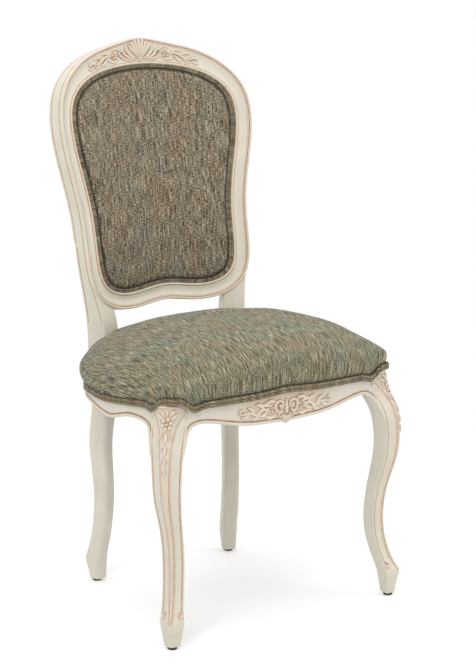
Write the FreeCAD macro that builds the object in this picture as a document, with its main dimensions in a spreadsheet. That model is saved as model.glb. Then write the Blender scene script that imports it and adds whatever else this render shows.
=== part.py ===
import FreeCAD, Part
import math
import os
import Sketcher
from FreeCAD import Placement, Rotation, Vector

DOC = FreeCAD.newDocument("side_chair")
SHEET = DOC.addObject("Spreadsheet::Sheet", "sizes")

# Driving sizes in millimetres and degrees: word, value, meaning
SIZES = (
    ("front_foot_half", 230, "centre line to the middle of a front foot"),
    ("front_foot_ahead", 225, "origin forward to the front feet"),
    ("rear_foot_half", 145.5, "centre line to the middle of a rear foot"),
    ("rear_foot_behind", 139, "origin back to the rear feet"),
    ("glide_radius", 8, "nylon glide"),
    ("glide_height", 3.5, "nylon glide"),
    ("glide_edge", 1.2, "bevel of the glide"),
    ("nail_radius", 1.4, "nail of the glide"),
    ("nail_length", 16, "nail of the glide"),
    ("leg_top", 410, "top of the knee block"),
    ("leg_foot_side", 17.5, "front foot on its glide"),
    ("toe_height", 46, "tip of the toe"),
    ("toe_side", 32, "section at the toe"),
    ("ankle_height", 150, "thinnest part of the front leg"),
    ("ankle_side", 25.5, "section at the ankle"),
    ("ankle_in", 18, "ankle inside the foot, sideways"),
    ("ankle_back", 21.5, "ankle behind the foot"),
    ("knee_height", 305, "fullest part of the knee"),
    ("knee_side", 35.5, "section at the knee"),
    ("knee_in", 0.5, "knee inside the foot, sideways"),
    ("knee_back", 11, "knee behind the foot"),
    ("block_side", 42.5, "knee block that takes the rails"),
    ("block_in", 18, "knee block inside the foot, sideways"),
    ("block_back", 31.5, "knee block behind the foot"),
    ("leg_edge", 3, "rounding of the leg's arrises"),
    ("post_turn", 22, "turn of the rear posts towards the middle"),
    ("rear_foot_side", 22, "rear foot on its glide"),
    ("heel_height", 41, "tip of the heel"),
    ("heel_depth", 32.5, "front to back at the heel"),
    ("heel_width", 24, "across at the heel"),
    ("rear_ankle_height", 115, "thinnest part of the rear leg"),
    ("rear_ankle_depth", 24, "front to back at the ankle"),
    ("rear_ankle_width", 26, "across at the ankle"),
    ("rear_ankle_inset", 16, "ankle ahead of the foot"),
    ("rear_knee_height", 264, "bulge under the seat"),
    ("rear_knee_depth", 37.5, "front to back at the bulge"),
    ("rear_knee_width", 28, "across at the bulge"),
    ("rear_knee_inset", 12, "bulge ahead of the foot"),
    ("post_seat_depth", 38, "front to back at the seat rails"),
    ("post_seat_width", 41, "across at the seat rails"),
    ("post_seat_inset", 20, "post ahead of the foot at the seat rails"),
    ("post_edge", 3, "rounding of the post's arrises"),
    ("back_height", 580, "floor to the zero line of the back"),
    ("back_behind", 142.5, "origin back to the zero line of the back"),
    ("back_rake", 10.8, "lean of the back"),
    ("back_radius", 500, "hollow of the back in plan"),
    ("frame_depth", 27, "back frame, front to rear"),
    ("frame_width", 28, "face of the stiles"),
    ("crest_width", 41, "face of the crest at its middle"),
    ("lower_rail_width", 29, "face of the lower back rail"),
    ("crest_joint_rise", 252, "joint of the stiles and the crest"),
    ("pad_top", 340, "top of the back pad over the zero line"),
    ("pad_drop", 59, "bottom of the back pad under the zero line"),
    ("pad_arch", 7, "rise of the pad's bottom edge at the middle"),
    ("pad_shoulder_half", 172, "half the pad at its widest"),
    ("pad_shoulder_rise", 220, "height of the widest line"),
    ("pad_waist_half", 146, "half the pad at its waist"),
    ("pad_waist_rise", 38, "height of the waist"),
    ("pad_foot_half", 131, "half the pad at its lower corners"),
    ("rebate_depth", 12, "seat of the back panel behind the front face"),
    ("rebate_lip", 8, "ledge that the panel is stapled to"),
    ("rear_rebate", 2.5, "seat of the rear cover"),
    ("back_panel_thick", 3, "bent panel"),
    ("back_crown", 12, "pad proud of the front face"),
    ("back_roll", 9, "rounding of the pad's edge"),
    ("cover_thick", 2, "cover over the foam"),
    ("welt_width", 9, "double welt of the back"),
    ("welt_proud", 3, "double welt proud of the front face"),
    ("rear_welt_thick", 4, "welt on the rear"),
    ("rail_top", 405, "top of the seat rails"),
    ("front_rail_ahead", 3, "face of the front rail before the knee block"),
    ("side_rail_in", 7.5, "face of the side rails inside the knee block"),
    ("front_rail_bow", 8.5, "bow of the front rail in plan"),
    ("front_rail_thick", 21.5, "front rail at its ends"),
    ("front_rail_low", 353, "lower edge of the front rail"),
    ("front_rail_high", 372, "lower edge at the legs"),
    ("side_rail_thick", 22, "side rails"),
    ("side_rail_low", 356, "lower edge of the side rails"),
    ("side_rail_high", 370, "lower edge at the legs"),
    ("side_bow", 12, "bow of the side rails past the knee block"),
    ("rear_rail_thick", 20, "rear rail"),
    ("rear_rail_low", 352, "lower edge of the rear rail"),
    ("corner_radius", 22, "front corners of the seat in plan"),
    ("dowel_radius", 4, "dowels of the seat frame"),
    ("dowel_length", 36, "dowels of the seat frame"),
    ("dowel_gap", 17, "between the two dowels of a joint"),
    ("front_dowel_back", 2, "dowels of the front rail behind its middle, clear of the leg's corner"),
    ("rear_dowel_gap", 25.5, "between the two dowels of the rear rail"),
    ("rear_dowel_drop", 8.5, "dowels of the rear rail under those of the side rails"),
    ("back_dowel_radius", 3.5, "dowels of the back frame"),
    ("back_dowel_length", 32, "dowels of the back frame"),
    ("block_height", 34, "corner blocks"),
    ("block_drop", 8, "corner blocks under the top of the rails"),
    ("block_reach", 66, "corner blocks along the rails"),
    ("screw_radius", 2, "screws of the corner blocks"),
    ("screw_head_radius", 4, "screws of the corner blocks"),
    ("screw_length", 34, "screws of the corner blocks"),
    ("screw_level", 7.5, "screws over the lower face of the blocks"),
    ("strap_width", 46, "jute webbing"),
    ("strap_thick", 1.5, "jute webbing"),
    ("strap_pitch", 56, "lengthwise straps, middle to middle"),
    ("cross_pitch", 66, "crosswise straps, middle to middle"),
    ("hessian_thick", 1, "support cloth"),
    ("seat_tilt", 3.4, "seat falls towards the rear"),
    ("seat_edge", 389, "lower edge of the cover at the middle of the sides"),
    ("seat_rise", 121, "crown over the lower edge"),
    ("seat_bulge", 10, "sides of the seat proud of the rails"),
    ("seat_welt_height", 10.5, "double welt of the seat"),
    ("seat_welt_thick", 5.2, "double welt of the seat"),
    ("knee_arch", 13, "welt rises over the knees"),
    ("side_fall", 16.5, "welt falls along the sides"),
    ("dust_thick", 1, "black cloth under the seat"),
    ("fit", 0.3, "clearance of soft pieces and screws"),
)
for row, (word, value, meaning) in enumerate(SIZES, start=1):
    SHEET.set("A%d" % row, meaning)
    SHEET.set("B%d" % row, str(value))
    SHEET.setAlias("B%d" % row, word)
DOC.recompute()


def size(word):
    return float(SHEET.get(word))


def keep(label, shape):
    """A finished piece whose form no primitive or sketch gives."""
    item = DOC.addObject("Part::Feature", label)
    item.Label = label
    item.Shape = shape
    return item


def biggest(shape):
    return max(shape.Solids, key=lambda solid: solid.Volume)


def mirrored(label, source):
    item = DOC.addObject("Part::Mirroring", label)
    item.Label = label
    item.Source = source
    item.Base = Vector(0, 0, 0)
    item.Normal = Vector(1, 0, 0)
    return item


def curve_through(points, closed=False):
    curve = Part.BSplineCurve()
    curve.interpolate(points, PeriodicFlag=closed)
    return curve


def line(start, end):
    return Part.LineSegment(start, end).toShape()


def rounded_wire(corners, radius):
    """Closed outline with an arc at each corner."""
    edges = []
    cuts = []
    count = len(corners)
    for index in range(count):
        here = corners[index]
        to_last = (corners[index - 1] - here).normalize()
        to_next = (corners[(index + 1) % count] - here).normalize()
        middle = here + (to_last + to_next) * (radius * (1 - math.sqrt(0.5)))
        cuts.append((here + to_last * radius, middle, here + to_next * radius))
    for index in range(count):
        start, middle, end = cuts[index]
        edges.append(Part.Arc(start, middle, end).toShape())
        edges.append(line(end, cuts[(index + 1) % count][0]))
    return Part.Wire(edges)


def between(start, end, share):
    return start + (end - start) * share


# Front legs: square sections that step in and out over the foot, with a crease at the toe
def leg_section(height, inwards, backwards, side):
    half = side / 2
    middle = Vector(size("front_foot_half") - inwards, -size("front_foot_ahead") + backwards, height)
    corners = [middle + Vector(sx * half, sy * half, 0) for sx, sy in ((-1, -1), (1, -1), (1, 1), (-1, 1))]
    return rounded_wire(corners, size("leg_edge"))


def front_leg_shape():
    toe = size("toe_height")
    ankle = size("ankle_height")
    knee = size("knee_height")
    top = size("leg_top")
    toe_side = size("toe_side")
    ankle_side = size("ankle_side")
    knee_side = size("knee_side")
    block_side = size("block_side")
    ankle_in = size("ankle_in")
    ankle_back = size("ankle_back")

    def to_knee(rise, share, swell):
        return (
            between(ankle, knee, rise),
            between(ankle_in, size("knee_in"), share),
            between(ankle_back, size("knee_back"), share),
            between(ankle_side, knee_side, swell),
        )

    def to_block(rise, share, swell):
        return (
            between(knee, top, rise),
            between(size("knee_in"), size("block_in"), share),
            between(size("knee_back"), size("block_back"), share),
            between(knee_side, block_side, swell),
        )

    def from_toe(rise, share, swell):
        return (
            between(toe, ankle, rise),
            ankle_in * share,
            ankle_back * share,
            between(toe_side, ankle_side, swell),
        )

    sole = leg_section(size("glide_height"), 0, 0, size("leg_foot_side"))
    foot = [sole, leg_section(toe, 0, 0, toe_side)]
    stations = (
        from_toe(0, 0, 0),
        from_toe(0.12, 0.24, 0.5),
        from_toe(0.32, 0.56, 0.9),
        from_toe(0.65, 0.9, 1.0),
        to_knee(0, 0, 0),
        to_knee(0.33, 0.25, 0.08),
        to_knee(0.65, 0.85, 0.62),
        to_knee(1, 1, 1),
        to_block(0.36, 0.33, 0.7),
        to_block(0.64, 0.86, 1),
        to_block(1, 1, 1),
    )
    lower = Part.makeLoft(foot, True, True)
    upper = Part.makeLoft([leg_section(*station) for station in stations], True, False)
    return biggest(lower.fuse(upper))


BLOCK_X = size("front_foot_half") - size("block_in")
BLOCK_Y = -size("front_foot_ahead") + size("block_back")
BLOCK_INNER = BLOCK_X - size("block_side") / 2
BLOCK_OUTER = BLOCK_X + size("block_side") / 2
BLOCK_FRONT = BLOCK_Y - size("block_side") / 2
BLOCK_BACK = BLOCK_Y + size("block_side") / 2
FACE_Y = BLOCK_FRONT - size("front_rail_ahead")
FACE_X = BLOCK_OUTER - size("side_rail_in")

# Rear posts: turned towards the middle, so their own axes are aslant
TURN = math.radians(size("post_turn"))
POST_BACK = Vector(math.sin(TURN), math.cos(TURN), 0)
POST_OUT = Vector(math.cos(TURN), -math.sin(TURN), 0)
REAR_FOOT = Vector(size("rear_foot_half"), size("rear_foot_behind"), 0)
RAKE = math.radians(size("back_rake"))
UP_BACK = Vector(0, math.sin(RAKE), math.cos(RAKE))
THROUGH_BACK = Vector(0, math.cos(RAKE), -math.sin(RAKE))
BACK_ZERO = Vector(0, size("back_behind"), size("back_height"))
HOLLOW = size("back_radius")
ACROSS = Vector(1, 0, 0)


def flat_point(x, rise):
    """Point of the upright plane that the outlines of the back are drawn on."""
    return BACK_ZERO + ACROSS * x + UP_BACK * rise


def back_point(x, rise, depth=0.0):
    """The same point carried back or forward to the hollow front face, and then into the frame."""
    turn = math.asin(x / HOLLOW)
    out = HOLLOW + depth
    point = BACK_ZERO - THROUGH_BACK * HOLLOW + UP_BACK * rise
    return point + ACROSS * (out * math.sin(turn)) + THROUGH_BACK * (out * math.cos(turn))


def pad_half_points():
    """Right half of the pad's outline, from the top middle down to the bottom middle."""
    top = size("pad_top")
    shoulder = size("pad_shoulder_half")
    shoulder_rise = size("pad_shoulder_rise")
    waist = size("pad_waist_half")
    waist_rise = size("pad_waist_rise")
    foot = size("pad_foot_half")
    bottom = -size("pad_drop")
    corner = between(shoulder_rise, top, 0.475)
    return (
        (0, top),
        (shoulder * 0.407, top - 7),
        (shoulder * 0.744, top - 27),
        (shoulder * 0.96, corner),
        (shoulder, shoulder_rise),
        (between(waist, shoulder, 0.5), between(waist_rise, shoulder_rise, 0.605)),
        (waist + 1, waist_rise + 34),
        (waist - 1, waist_rise - 34),
        (foot, bottom + 15),
        (foot * 0.75, bottom),
        (foot * 0.4, bottom + 1),
        (0, bottom + size("pad_arch")),
    )


def both_sides(half):
    left = [(-x, rise) for x, rise in reversed(half[1:-1])]
    return list(half) + left


PAD_POINTS = both_sides(pad_half_points())
PAD_CURVE = curve_through([Vector(x, rise, 0) for x, rise in PAD_POINTS], True)


def pad_offset(point, distance):
    """Point of the pad's outline moved outwards by a distance."""
    place = PAD_CURVE.parameter(Vector(point[0], point[1], 0))
    along = PAD_CURVE.tangent(place)[0]
    return (point[0] - along.y * distance, point[1] + along.x * distance)


def pad_outline(distance):
    points = [pad_offset(point, distance) for point in PAD_POINTS]
    curve = curve_through([flat_point(x, rise) for x, rise in points], True)
    return Part.Face(Part.Wire([curve.toShape()]))


def back_prism(face, reach=90.0):
    block = face.copy()
    block.translate(THROUGH_BACK * -reach)
    return block.extrude(THROUGH_BACK * (2 * reach))


def back_drum(depth):
    base = BACK_ZERO - THROUGH_BACK * HOLLOW - UP_BACK * 200
    return Part.makeCylinder(HOLLOW + depth, 700, base, UP_BACK)


def back_layer(face, front, rear):
    """The part of a prism of the back between two depths under the hollow face."""
    return biggest(back_prism(face).common(back_drum(rear)).cut(back_drum(front)))


PAD_RUN = [point for point in PAD_CURVE.toShape().discretize(Number=801) if point.x > 0]


def pad_half_at(rise):
    """Half the pad's width at a height, read off its outline."""
    return max((point for point in PAD_RUN), key=lambda point: -abs(point.y - rise) + point.x * 1e-4).x


def post_section(middle, width, depth):
    corners = [
        middle + POST_OUT * (sx * width / 2) + POST_BACK * (sy * depth / 2)
        for sx, sy in ((-1, -1), (1, -1), (1, 1), (-1, 1))
    ]
    return rounded_wire(corners, size("post_edge"))


def stile_section(rise, outer, inner, depth):
    level_depth = depth / math.cos(RAKE)
    front = back_point((outer + inner) / 2, rise)
    return post_section(front + POST_BACK * (level_depth / 2), outer - inner, level_depth)


SEAT_POST = REAR_FOOT - POST_BACK * size("post_seat_inset")


def rear_post_shape():
    heel = size("heel_height")
    ankle = size("rear_ankle_height")
    knee = size("rear_knee_height")
    rail = size("rail_top")
    heel_d = size("heel_depth")
    heel_w = size("heel_width")
    ankle_d = size("rear_ankle_depth")
    ankle_w = size("rear_ankle_width")
    ankle_in = size("rear_ankle_inset")
    knee_d = size("rear_knee_depth")
    knee_w = size("rear_knee_width")
    knee_in = size("rear_knee_inset")
    seat_d = size("post_seat_depth")
    seat_w = size("post_seat_width")
    seat_in = size("post_seat_inset")
    foot = size("rear_foot_side")
    frame_d = size("frame_depth")
    frame_w = size("frame_width")
    lip = size("rebate_lip") + 3
    stations = (
        (heel, 0, heel_w, heel_d),
        (between(heel, ankle, 0.22), ankle_in * 0.28, heel_w, between(heel_d, ankle_d, 0.52)),
        (
            between(heel, ankle, 0.5),
            ankle_in * 0.62,
            between(heel_w, ankle_w, 0.5),
            between(heel_d, ankle_d, 0.9),
        ),
        (ankle, ankle_in, ankle_w, ankle_d),
        (
            between(ankle, knee, 0.45),
            ankle_in + 1,
            between(ankle_w, knee_w, 0.5),
            between(ankle_d, knee_d, 0.2),
        ),
        (knee, knee_in, knee_w, knee_d),
        (between(knee, rail, 0.47), seat_in, between(knee_w, seat_w, 0.4), between(knee_d, seat_d, 0.5) - 1),
        (rail, seat_in, seat_w, seat_d),
    )

    def level(height, inset, width, depth):
        return post_section(REAR_FOOT - POST_BACK * inset + Vector(0, 0, height), width, depth)

    foot_wires = [level(size("glide_height"), 0, foot, foot), level(heel, 0, heel_w, heel_d)]
    wires = [level(*station) for station in stations]
    drop = size("pad_drop")
    post_half = SEAT_POST.x - 5
    wires.append(stile_section(-drop - 50, post_half + seat_w / 2, post_half - seat_w / 2, seat_d))
    outer = pad_half_at(-drop + 15) + frame_w
    edge = outer - 0.5
    wires.append(stile_section(-drop + 7, edge, edge - seat_w * 0.92, between(frame_d, seat_d, 0.5)))
    joint = size("crest_joint_rise")
    waist = size("pad_waist_rise")
    shoulder = size("pad_shoulder_rise")
    stretch = (
        waist - 34,
        waist + 34,
        between(waist, shoulder, 0.605),
        between(waist, shoulder, 0.8),
        shoulder,
        joint,
    )
    for rise in stretch:
        edge = pad_half_at(rise)
        wires.append(stile_section(rise, edge + frame_w, edge - lip, frame_d))
    edge = pad_half_at(joint + 25)
    wires.append(stile_section(joint + 25, edge + frame_w, edge - lip, frame_d))
    whole = biggest(Part.makeLoft(foot_wires, True, True).fuse(Part.makeLoft(wires, True, False)))
    above = Part.makeBox(600, 400, 200, flat_point(-300, joint) - THROUGH_BACK * 200)
    above.rotate(flat_point(-300, joint) - THROUGH_BACK * 200, Vector(1, 0, 0), -size("back_rake"))
    return whole, above


# Seat in plan: front arc, front corners, two arcs for each side, straight rear
def seat_points(grow):
    """Right half of the seat's outline, moved outwards by a distance."""
    front = FACE_Y
    side = FACE_X
    rear = SEAT_POST.y + 5.5
    bow_y = between(BLOCK_BACK, rear, 0.39)
    turn_y = between(BLOCK_BACK, rear, 0.745)
    widest = side + size("side_bow")
    turn_x = between(SEAT_POST.x, widest, 0.805)
    tuck = grow * 0.7
    round_off = max(size("corner_radius") + grow, 6)
    bend = round_off * (1 - math.sqrt(0.5))
    return {
        "middle": (0, front - size("front_rail_bow") - grow),
        "front": (side + grow - round_off, front - grow),
        "corner": (side + grow - bend, front - grow + bend),
        "side": (side + grow, front - grow + round_off),
        "bow": (widest + grow, bow_y),
        "turn": (turn_x + grow * 0.93, turn_y + grow * 0.35),
        "rear_bend": (between(SEAT_POST.x, turn_x, 0.66) + tuck, between(turn_y, rear, 0.52) + tuck),
        "rear": (SEAT_POST.x + 12 + grow * 0.5, rear + grow),
    }


def seat_wire(grow, shrink, place):
    """Outline of the seat; place(x, y) puts a plan point in space."""
    spots = seat_points(grow)
    heart = (0, between(spots["middle"][1], spots["rear"][1], 0.5))

    def at(word, side=1):
        x, y = spots[word]
        return place(side * x * shrink, heart[1] + (y - heart[1]) * shrink)

    def arc(first, second, third):
        return Part.Arc(first, second, third).toShape()

    edges = [arc(at("front", -1), at("middle"), at("front"))]
    edges.append(arc(at("front"), at("corner"), at("side")))
    edges.append(arc(at("side"), at("bow"), at("turn")))
    edges.append(arc(at("turn"), at("rear_bend"), at("rear")))
    edges.append(line(at("rear"), at("rear", -1)))
    edges.append(arc(at("rear", -1), at("rear_bend", -1), at("turn", -1)))
    edges.append(arc(at("turn", -1), at("bow", -1), at("side", -1)))
    edges.append(arc(at("side", -1), at("corner", -1), at("front", -1)))
    return Part.Wire(edges)


def seat_plan(grow, low, high):
    wire = seat_wire(grow, 1.0, lambda x, y: Vector(x, y, low))
    return Part.Face(wire).extrude(Vector(0, 0, high - low))


TILT = math.tan(math.radians(size("seat_tilt")))
TILT_Y = -100.0


def edge_height(y):
    """Lower edge of the cover: it falls towards the rear."""
    return size("seat_edge") - TILT * (y - TILT_Y)


def cushion(grow, lower, upper):
    """Crowned seat: drawn in at the welt, bulging over it, then closing over the crown."""
    rise = size("seat_rise")
    bulge = size("seat_bulge")
    steps = (
        (lower, grow, 1.0),
        (rise * 0.08, grow + bulge * 0.3, 1.0),
        (rise * 0.16, grow + bulge * 0.75, 1.0),
        (rise * 0.25, grow + bulge * 0.95, 1.0),
        (rise * 0.35, grow + bulge * 0.8, 1.0),
        (rise * 0.45 - upper * 0.3, grow + bulge * 0.25, 1.0),
        (rise * 0.54 - upper * 0.5, grow, 0.965),
        (rise * 0.64 - upper * 0.7, grow, 0.89),
        (rise * 0.76 - upper * 0.8, grow, 0.77),
        (rise * 0.87 - upper * 0.9, grow, 0.62),
        (rise * 0.95 - upper, grow, 0.44),
        (rise * 0.99 - upper, grow, 0.24),
        (rise - upper, grow, 0.08),
    )
    wires = []
    for height, out, shrink in steps:
        wires.append(seat_wire(out, shrink, lambda x, y: Vector(x, y, edge_height(y) + height)))
    return Part.makeLoft(wires, True, True)


# The line of the seat's welt: it arches over both knees
def welt_low(x, y):
    away = math.hypot(abs(x) - FACE_X + 4, y - FACE_Y - 4)
    arch = size("knee_arch") * math.exp(-((away / 19) ** 4))
    middle = 4 * math.exp(-((x / 40) ** 2)) if y < BLOCK_BACK else 0
    share = min(max((y - FACE_Y - 25) / 190, 0), 1)
    fall = size("side_fall") * share * share * (3 - 2 * share)
    return edge_height(FACE_Y) - fall + arch + middle


def bulge_at(height):
    """How far the side of the seat stands out, a given height over the cover's lower edge."""
    rise = size("seat_rise")
    stops = ((3.0, 0.0), (rise * 0.08, 0.3), (rise * 0.16, 0.75), (rise * 0.25, 0.95))
    if height <= stops[0][0]:
        return 0.0
    for (low, inner), (high, outer) in zip(stops, stops[1:]):
        if height <= high:
            return size("seat_bulge") * between(inner, outer, (height - low) / (high - low))
    return size("seat_bulge") * stops[-1][1]


def welt_solid(profile, start, end, count, snug=False):
    """A strip of a given section laid along the seat's outline from post to post."""
    outline = seat_wire(0, 1.0, lambda x, y: Vector(x, y, 0))
    edges = outline.Edges
    path = Part.Wire([edges[5], edges[6], edges[7], edges[0], edges[1], edges[2], edges[3]])
    spots = path.discretize(Number=401)
    if spots[0].x > 0:
        spots.reverse()
    wires = []
    for step in range(count + 1):
        index = int(round(between(start, end, step / count) * 400))
        here = spots[index]
        ahead = spots[min(index + 1, 400)] - spots[max(index - 1, 0)]
        out = Vector(ahead.y, -ahead.x, 0).normalize()
        low = welt_low(here.x, here.y)
        points = []
        for away, up in profile:
            lean = bulge_at(low + up - edge_height(here.y)) if snug else 0.0
            points.append(here + out * (away + lean) + Vector(0, 0, low + up))
        wires.append(Part.makePolygon(points + points[:1]))
    return Part.makeLoft(wires, True, True)


RAIL_TOP = size("rail_top")
front_leg = front_leg_shape()
rear_post, above_joint = rear_post_shape()
rear_post = biggest(rear_post.cut(above_joint))

# The upholstery's ledge is sawn into the knee blocks along the welt's line
ledge = welt_solid(((0, -0.2), (40, -0.2), (40, 70), (0, 70)), 0.05, 0.95, 90)
front_leg = biggest(front_leg.cut(ledge))

# Openings of the back frame: front rebate, through opening, shallow rear rebate
front_opening = back_prism(pad_outline(0)).common(back_drum(size("rebate_depth")))
through_opening = back_prism(pad_outline(-size("rebate_lip")))
rear_opening = back_prism(pad_outline(-2)).cut(back_drum(size("frame_depth") - size("rear_rebate")))
OPENINGS = (front_opening, through_opening, rear_opening)
rear_post = biggest(rear_post.cut(through_opening).cut(front_opening).cut(rear_opening))


def splayed(x, rise, depth):
    """A point of an outline of the back on the ray that the hollow's axis sends through it."""
    turn = math.asin(x / HOLLOW)
    return BACK_ZERO + ACROSS * ((HOLLOW + depth) * math.tan(turn)) + UP_BACK * rise + THROUGH_BACK * depth


def crest_shape():
    joint = size("crest_joint_rise")
    half = pad_half_points()
    shoulder = size("pad_shoulder_half")
    outer = []
    for x, rise in half[:4]:
        share = 1 - (x / shoulder) ** 2
        outer.append(pad_offset((x, rise), between(size("frame_width"), size("crest_width"), share)))
    end_x = pad_half_at(joint) + size("frame_width")
    outer.append((end_x, joint))
    full = [(-x, rise) for x, rise in reversed(outer[1:])] + outer
    wires = []
    for depth in (-90, 60):
        points = [splayed(x, rise, depth) for x, rise in full]
        wires.append(Part.Wire([curve_through(points).toShape(), line(points[-1], points[0])]))
    wedge = Part.makeLoft(wires, True, True)
    return biggest(wedge.common(back_drum(size("frame_depth"))).cut(back_drum(0)))


def lower_rail_shape():
    half = pad_half_points()
    edge = []
    for point in half[:7:-1]:
        edge.append(pad_offset(point, size("lower_rail_width")))
    full = [(-x, rise) for x, rise in reversed(edge[1:])] + edge
    bottom = curve_through([flat_point(x, rise) for x, rise in full]).toShape()
    first = flat_point(*full[0])
    last = flat_point(*full[-1])
    high = half[8][1] + 22
    lift_first = flat_point(full[0][0], high)
    lift_last = flat_point(full[-1][0], high)
    sides = [line(last, lift_last), line(lift_last, lift_first), line(lift_first, first)]
    face = Part.Face(Part.Wire([bottom] + sides))
    return back_layer(face, 0, size("frame_depth"))


left_post = rear_post.mirror(Vector(0, 0, 0), Vector(1, 0, 0))
left_leg = front_leg.mirror(Vector(0, 0, 0), Vector(1, 0, 0))
crest = crest_shape().cut(through_opening).cut(front_opening).cut(rear_opening)
half_rail = lower_rail_shape().cut(through_opening).cut(front_opening).cut(rear_opening)
half_rail = half_rail.cut(rear_post).common(Part.makeBox(500, 900, 900, Vector(0, -450, 200)))
half_rail = biggest(half_rail)
lower_rail = biggest(half_rail.fuse(half_rail.mirror(Vector(0, 0, 0), ACROSS)).removeSplitter())
crest = biggest(crest)


# Seat rails: sawn to the plan, then to the lower edge
def front_rail_shape():
    low = size("front_rail_low")
    high = size("front_rail_high")
    end = BLOCK_INNER + 14
    shape = ((1.0, 0.75), (0.88, 0.98), (0.71, 0.72), (0.54, 0.28), (0.38, 0.02), (0.2, 0.0), (0.0, -0.1))
    half = [(end * share, between(low, high, lift)) for share, lift in shape]
    full = [(-x, z) for x, z in half] + [(x, z) for x, z in reversed(half[:-1])]
    ahead = BLOCK_FRONT - 60
    edge = curve_through([Vector(x, ahead, z) for x, z in full]).toShape()
    right = Vector(end, ahead, RAIL_TOP)
    left = Vector(-end, ahead, RAIL_TOP)
    first = Vector(full[0][0], ahead, full[0][1])
    last = Vector(full[-1][0], ahead, full[-1][1])
    face = Part.Face(Part.Wire([edge, line(last, right), line(right, left), line(left, first)]))
    behind = FACE_Y + size("front_rail_thick")
    board = face.extrude(Vector(0, behind - ahead, 0))
    return biggest(board.common(seat_plan(0, low - 60, RAIL_TOP + 20)).cut(front_leg).cut(left_leg))


def side_rail_shape():
    low = size("side_rail_low")
    high = size("side_rail_high")
    start = BLOCK_BACK - 12
    end = SEAT_POST.y + 2
    shape = (
        (0.0, 0.7),
        (0.12, 0.98),
        (0.2, 1.08),
        (0.29, 0.78),
        (0.37, 0.3),
        (0.45, 0.0),
        (0.54, 0.12),
        (0.66, 0.5),
    )
    shape += ((0.8, 0.85), (1.0, 1.1))
    points = [Vector(20, between(start, end, share), between(low, high, lift)) for share, lift in shape]
    edge = curve_through(points).toShape()
    top_end = Vector(20, end, RAIL_TOP)
    top_start = Vector(20, start, RAIL_TOP)
    sides = [line(points[-1], top_end), line(top_end, top_start), line(top_start, points[0])]
    face = Part.Face(Part.Wire([edge] + sides))
    board = face.extrude(Vector(300, 0, 0))
    inside = seat_plan(-size("side_rail_thick"), low - 80, RAIL_TOP + 40)
    ring = seat_plan(0, low - 60, RAIL_TOP + 20).cut(inside)
    return biggest(board.common(ring).cut(front_leg).cut(rear_post))


front_rail = front_rail_shape()
side_rail = side_rail_shape()
REAR_Y = SEAT_POST.y + 3
rear_rail = Part.makeBox(
    2 * SEAT_POST.x,
    size("rear_rail_thick"),
    RAIL_TOP - size("rear_rail_low"),
    Vector(-SEAT_POST.x, REAR_Y - size("rear_rail_thick") / 2, size("rear_rail_low")),
)
rear_rail = biggest(rear_rail.cut(rear_post).cut(left_post))


# Dowels: bored into both pieces of each joint
def dowel(label, middle, direction, radius_word, length_word):
    item = DOC.addObject("Part::Cylinder", label)
    item.setExpression("Radius", "sizes." + radius_word)
    item.setExpression("Height", "sizes." + length_word)
    turn = Rotation(Vector(0, 0, 1), direction)
    item.Placement = Placement(middle - direction * (size(length_word) / 2), turn)
    return item


def flipped(point):
    return Vector(-point.x, point.y, point.z)


high_z = RAIL_TOP - 9
gap = size("dowel_gap")
front_y = FACE_Y + size("front_rail_thick") / 2 + size("front_dowel_back")
side_x = FACE_X - size("side_rail_thick") / 2
post_side = SEAT_POST + POST_OUT * (size("post_seat_width") / 2)
post_side = post_side - POST_BACK * (size("post_seat_depth") * 0.27)
side_aim = Vector(-0.65, 0.76, 0).normalize()
post_inner = SEAT_POST.x - size("post_seat_width") / 2 * math.cos(TURN)
rear_drop = size("rear_dowel_drop")
rear_gap = size("rear_dowel_gap")
spots = (
    (Vector(BLOCK_INNER, front_y, high_z), ACROSS, gap),
    (Vector(side_x, BLOCK_BACK, high_z), Vector(0, 1, 0), gap),
    (Vector(post_side.x, post_side.y, high_z), side_aim, gap),
    (Vector(post_inner, REAR_Y, high_z - rear_drop), ACROSS, rear_gap),
)
seat_dowels = []
for top, aim, pitch in spots:
    for level in range(2):
        place = top - Vector(0, 0, pitch * level)
        seat_dowels.append(dowel("seat_dowel", place, aim, "dowel_radius", "dowel_length"))
        place = flipped(place)
        seat_dowels.append(dowel("seat_dowel", place, flipped(aim), "dowel_radius", "dowel_length"))
crest_mid = pad_half_at(size("crest_joint_rise")) + size("frame_width") / 2
rail_mid = -size("pad_drop") - size("lower_rail_width") / 2
end_half = SEAT_POST.x - 14
end_turn = math.asin(end_half / HOLLOW)
end_aim = Vector(math.cos(end_turn), 0, 0) - THROUGH_BACK * math.sin(end_turn)
back_dowels = []
for shift in (-6.5, 6.5):
    spots = (
        (back_point(crest_mid + shift, size("crest_joint_rise"), size("frame_depth") / 2), UP_BACK),
        (back_point(end_half, rail_mid + shift, size("frame_depth") / 2), end_aim),
    )
    for place, aim in spots:
        back_dowels.append(dowel("back_dowel", place, aim, "back_dowel_radius", "back_dowel_length"))
        spot = flipped(place)
        back_dowels.append(dowel("back_dowel", spot, flipped(aim), "back_dowel_radius", "back_dowel_length"))
DOC.recompute()


def bored(shape, tools):
    near = [tool.Shape for tool in tools if tool.Shape.BoundBox.intersect(shape.BoundBox)]
    return biggest(shape.cut(near)) if near else shape


# Nails of the glides
def nail(label, place):
    item = DOC.addObject("Part::Cylinder", label)
    item.setExpression("Radius", "sizes.nail_radius")
    item.setExpression("Height", "sizes.nail_length")
    item.Placement = Placement(place + Vector(0, 0, size("glide_height") / 2), Rotation())
    return item


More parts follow.
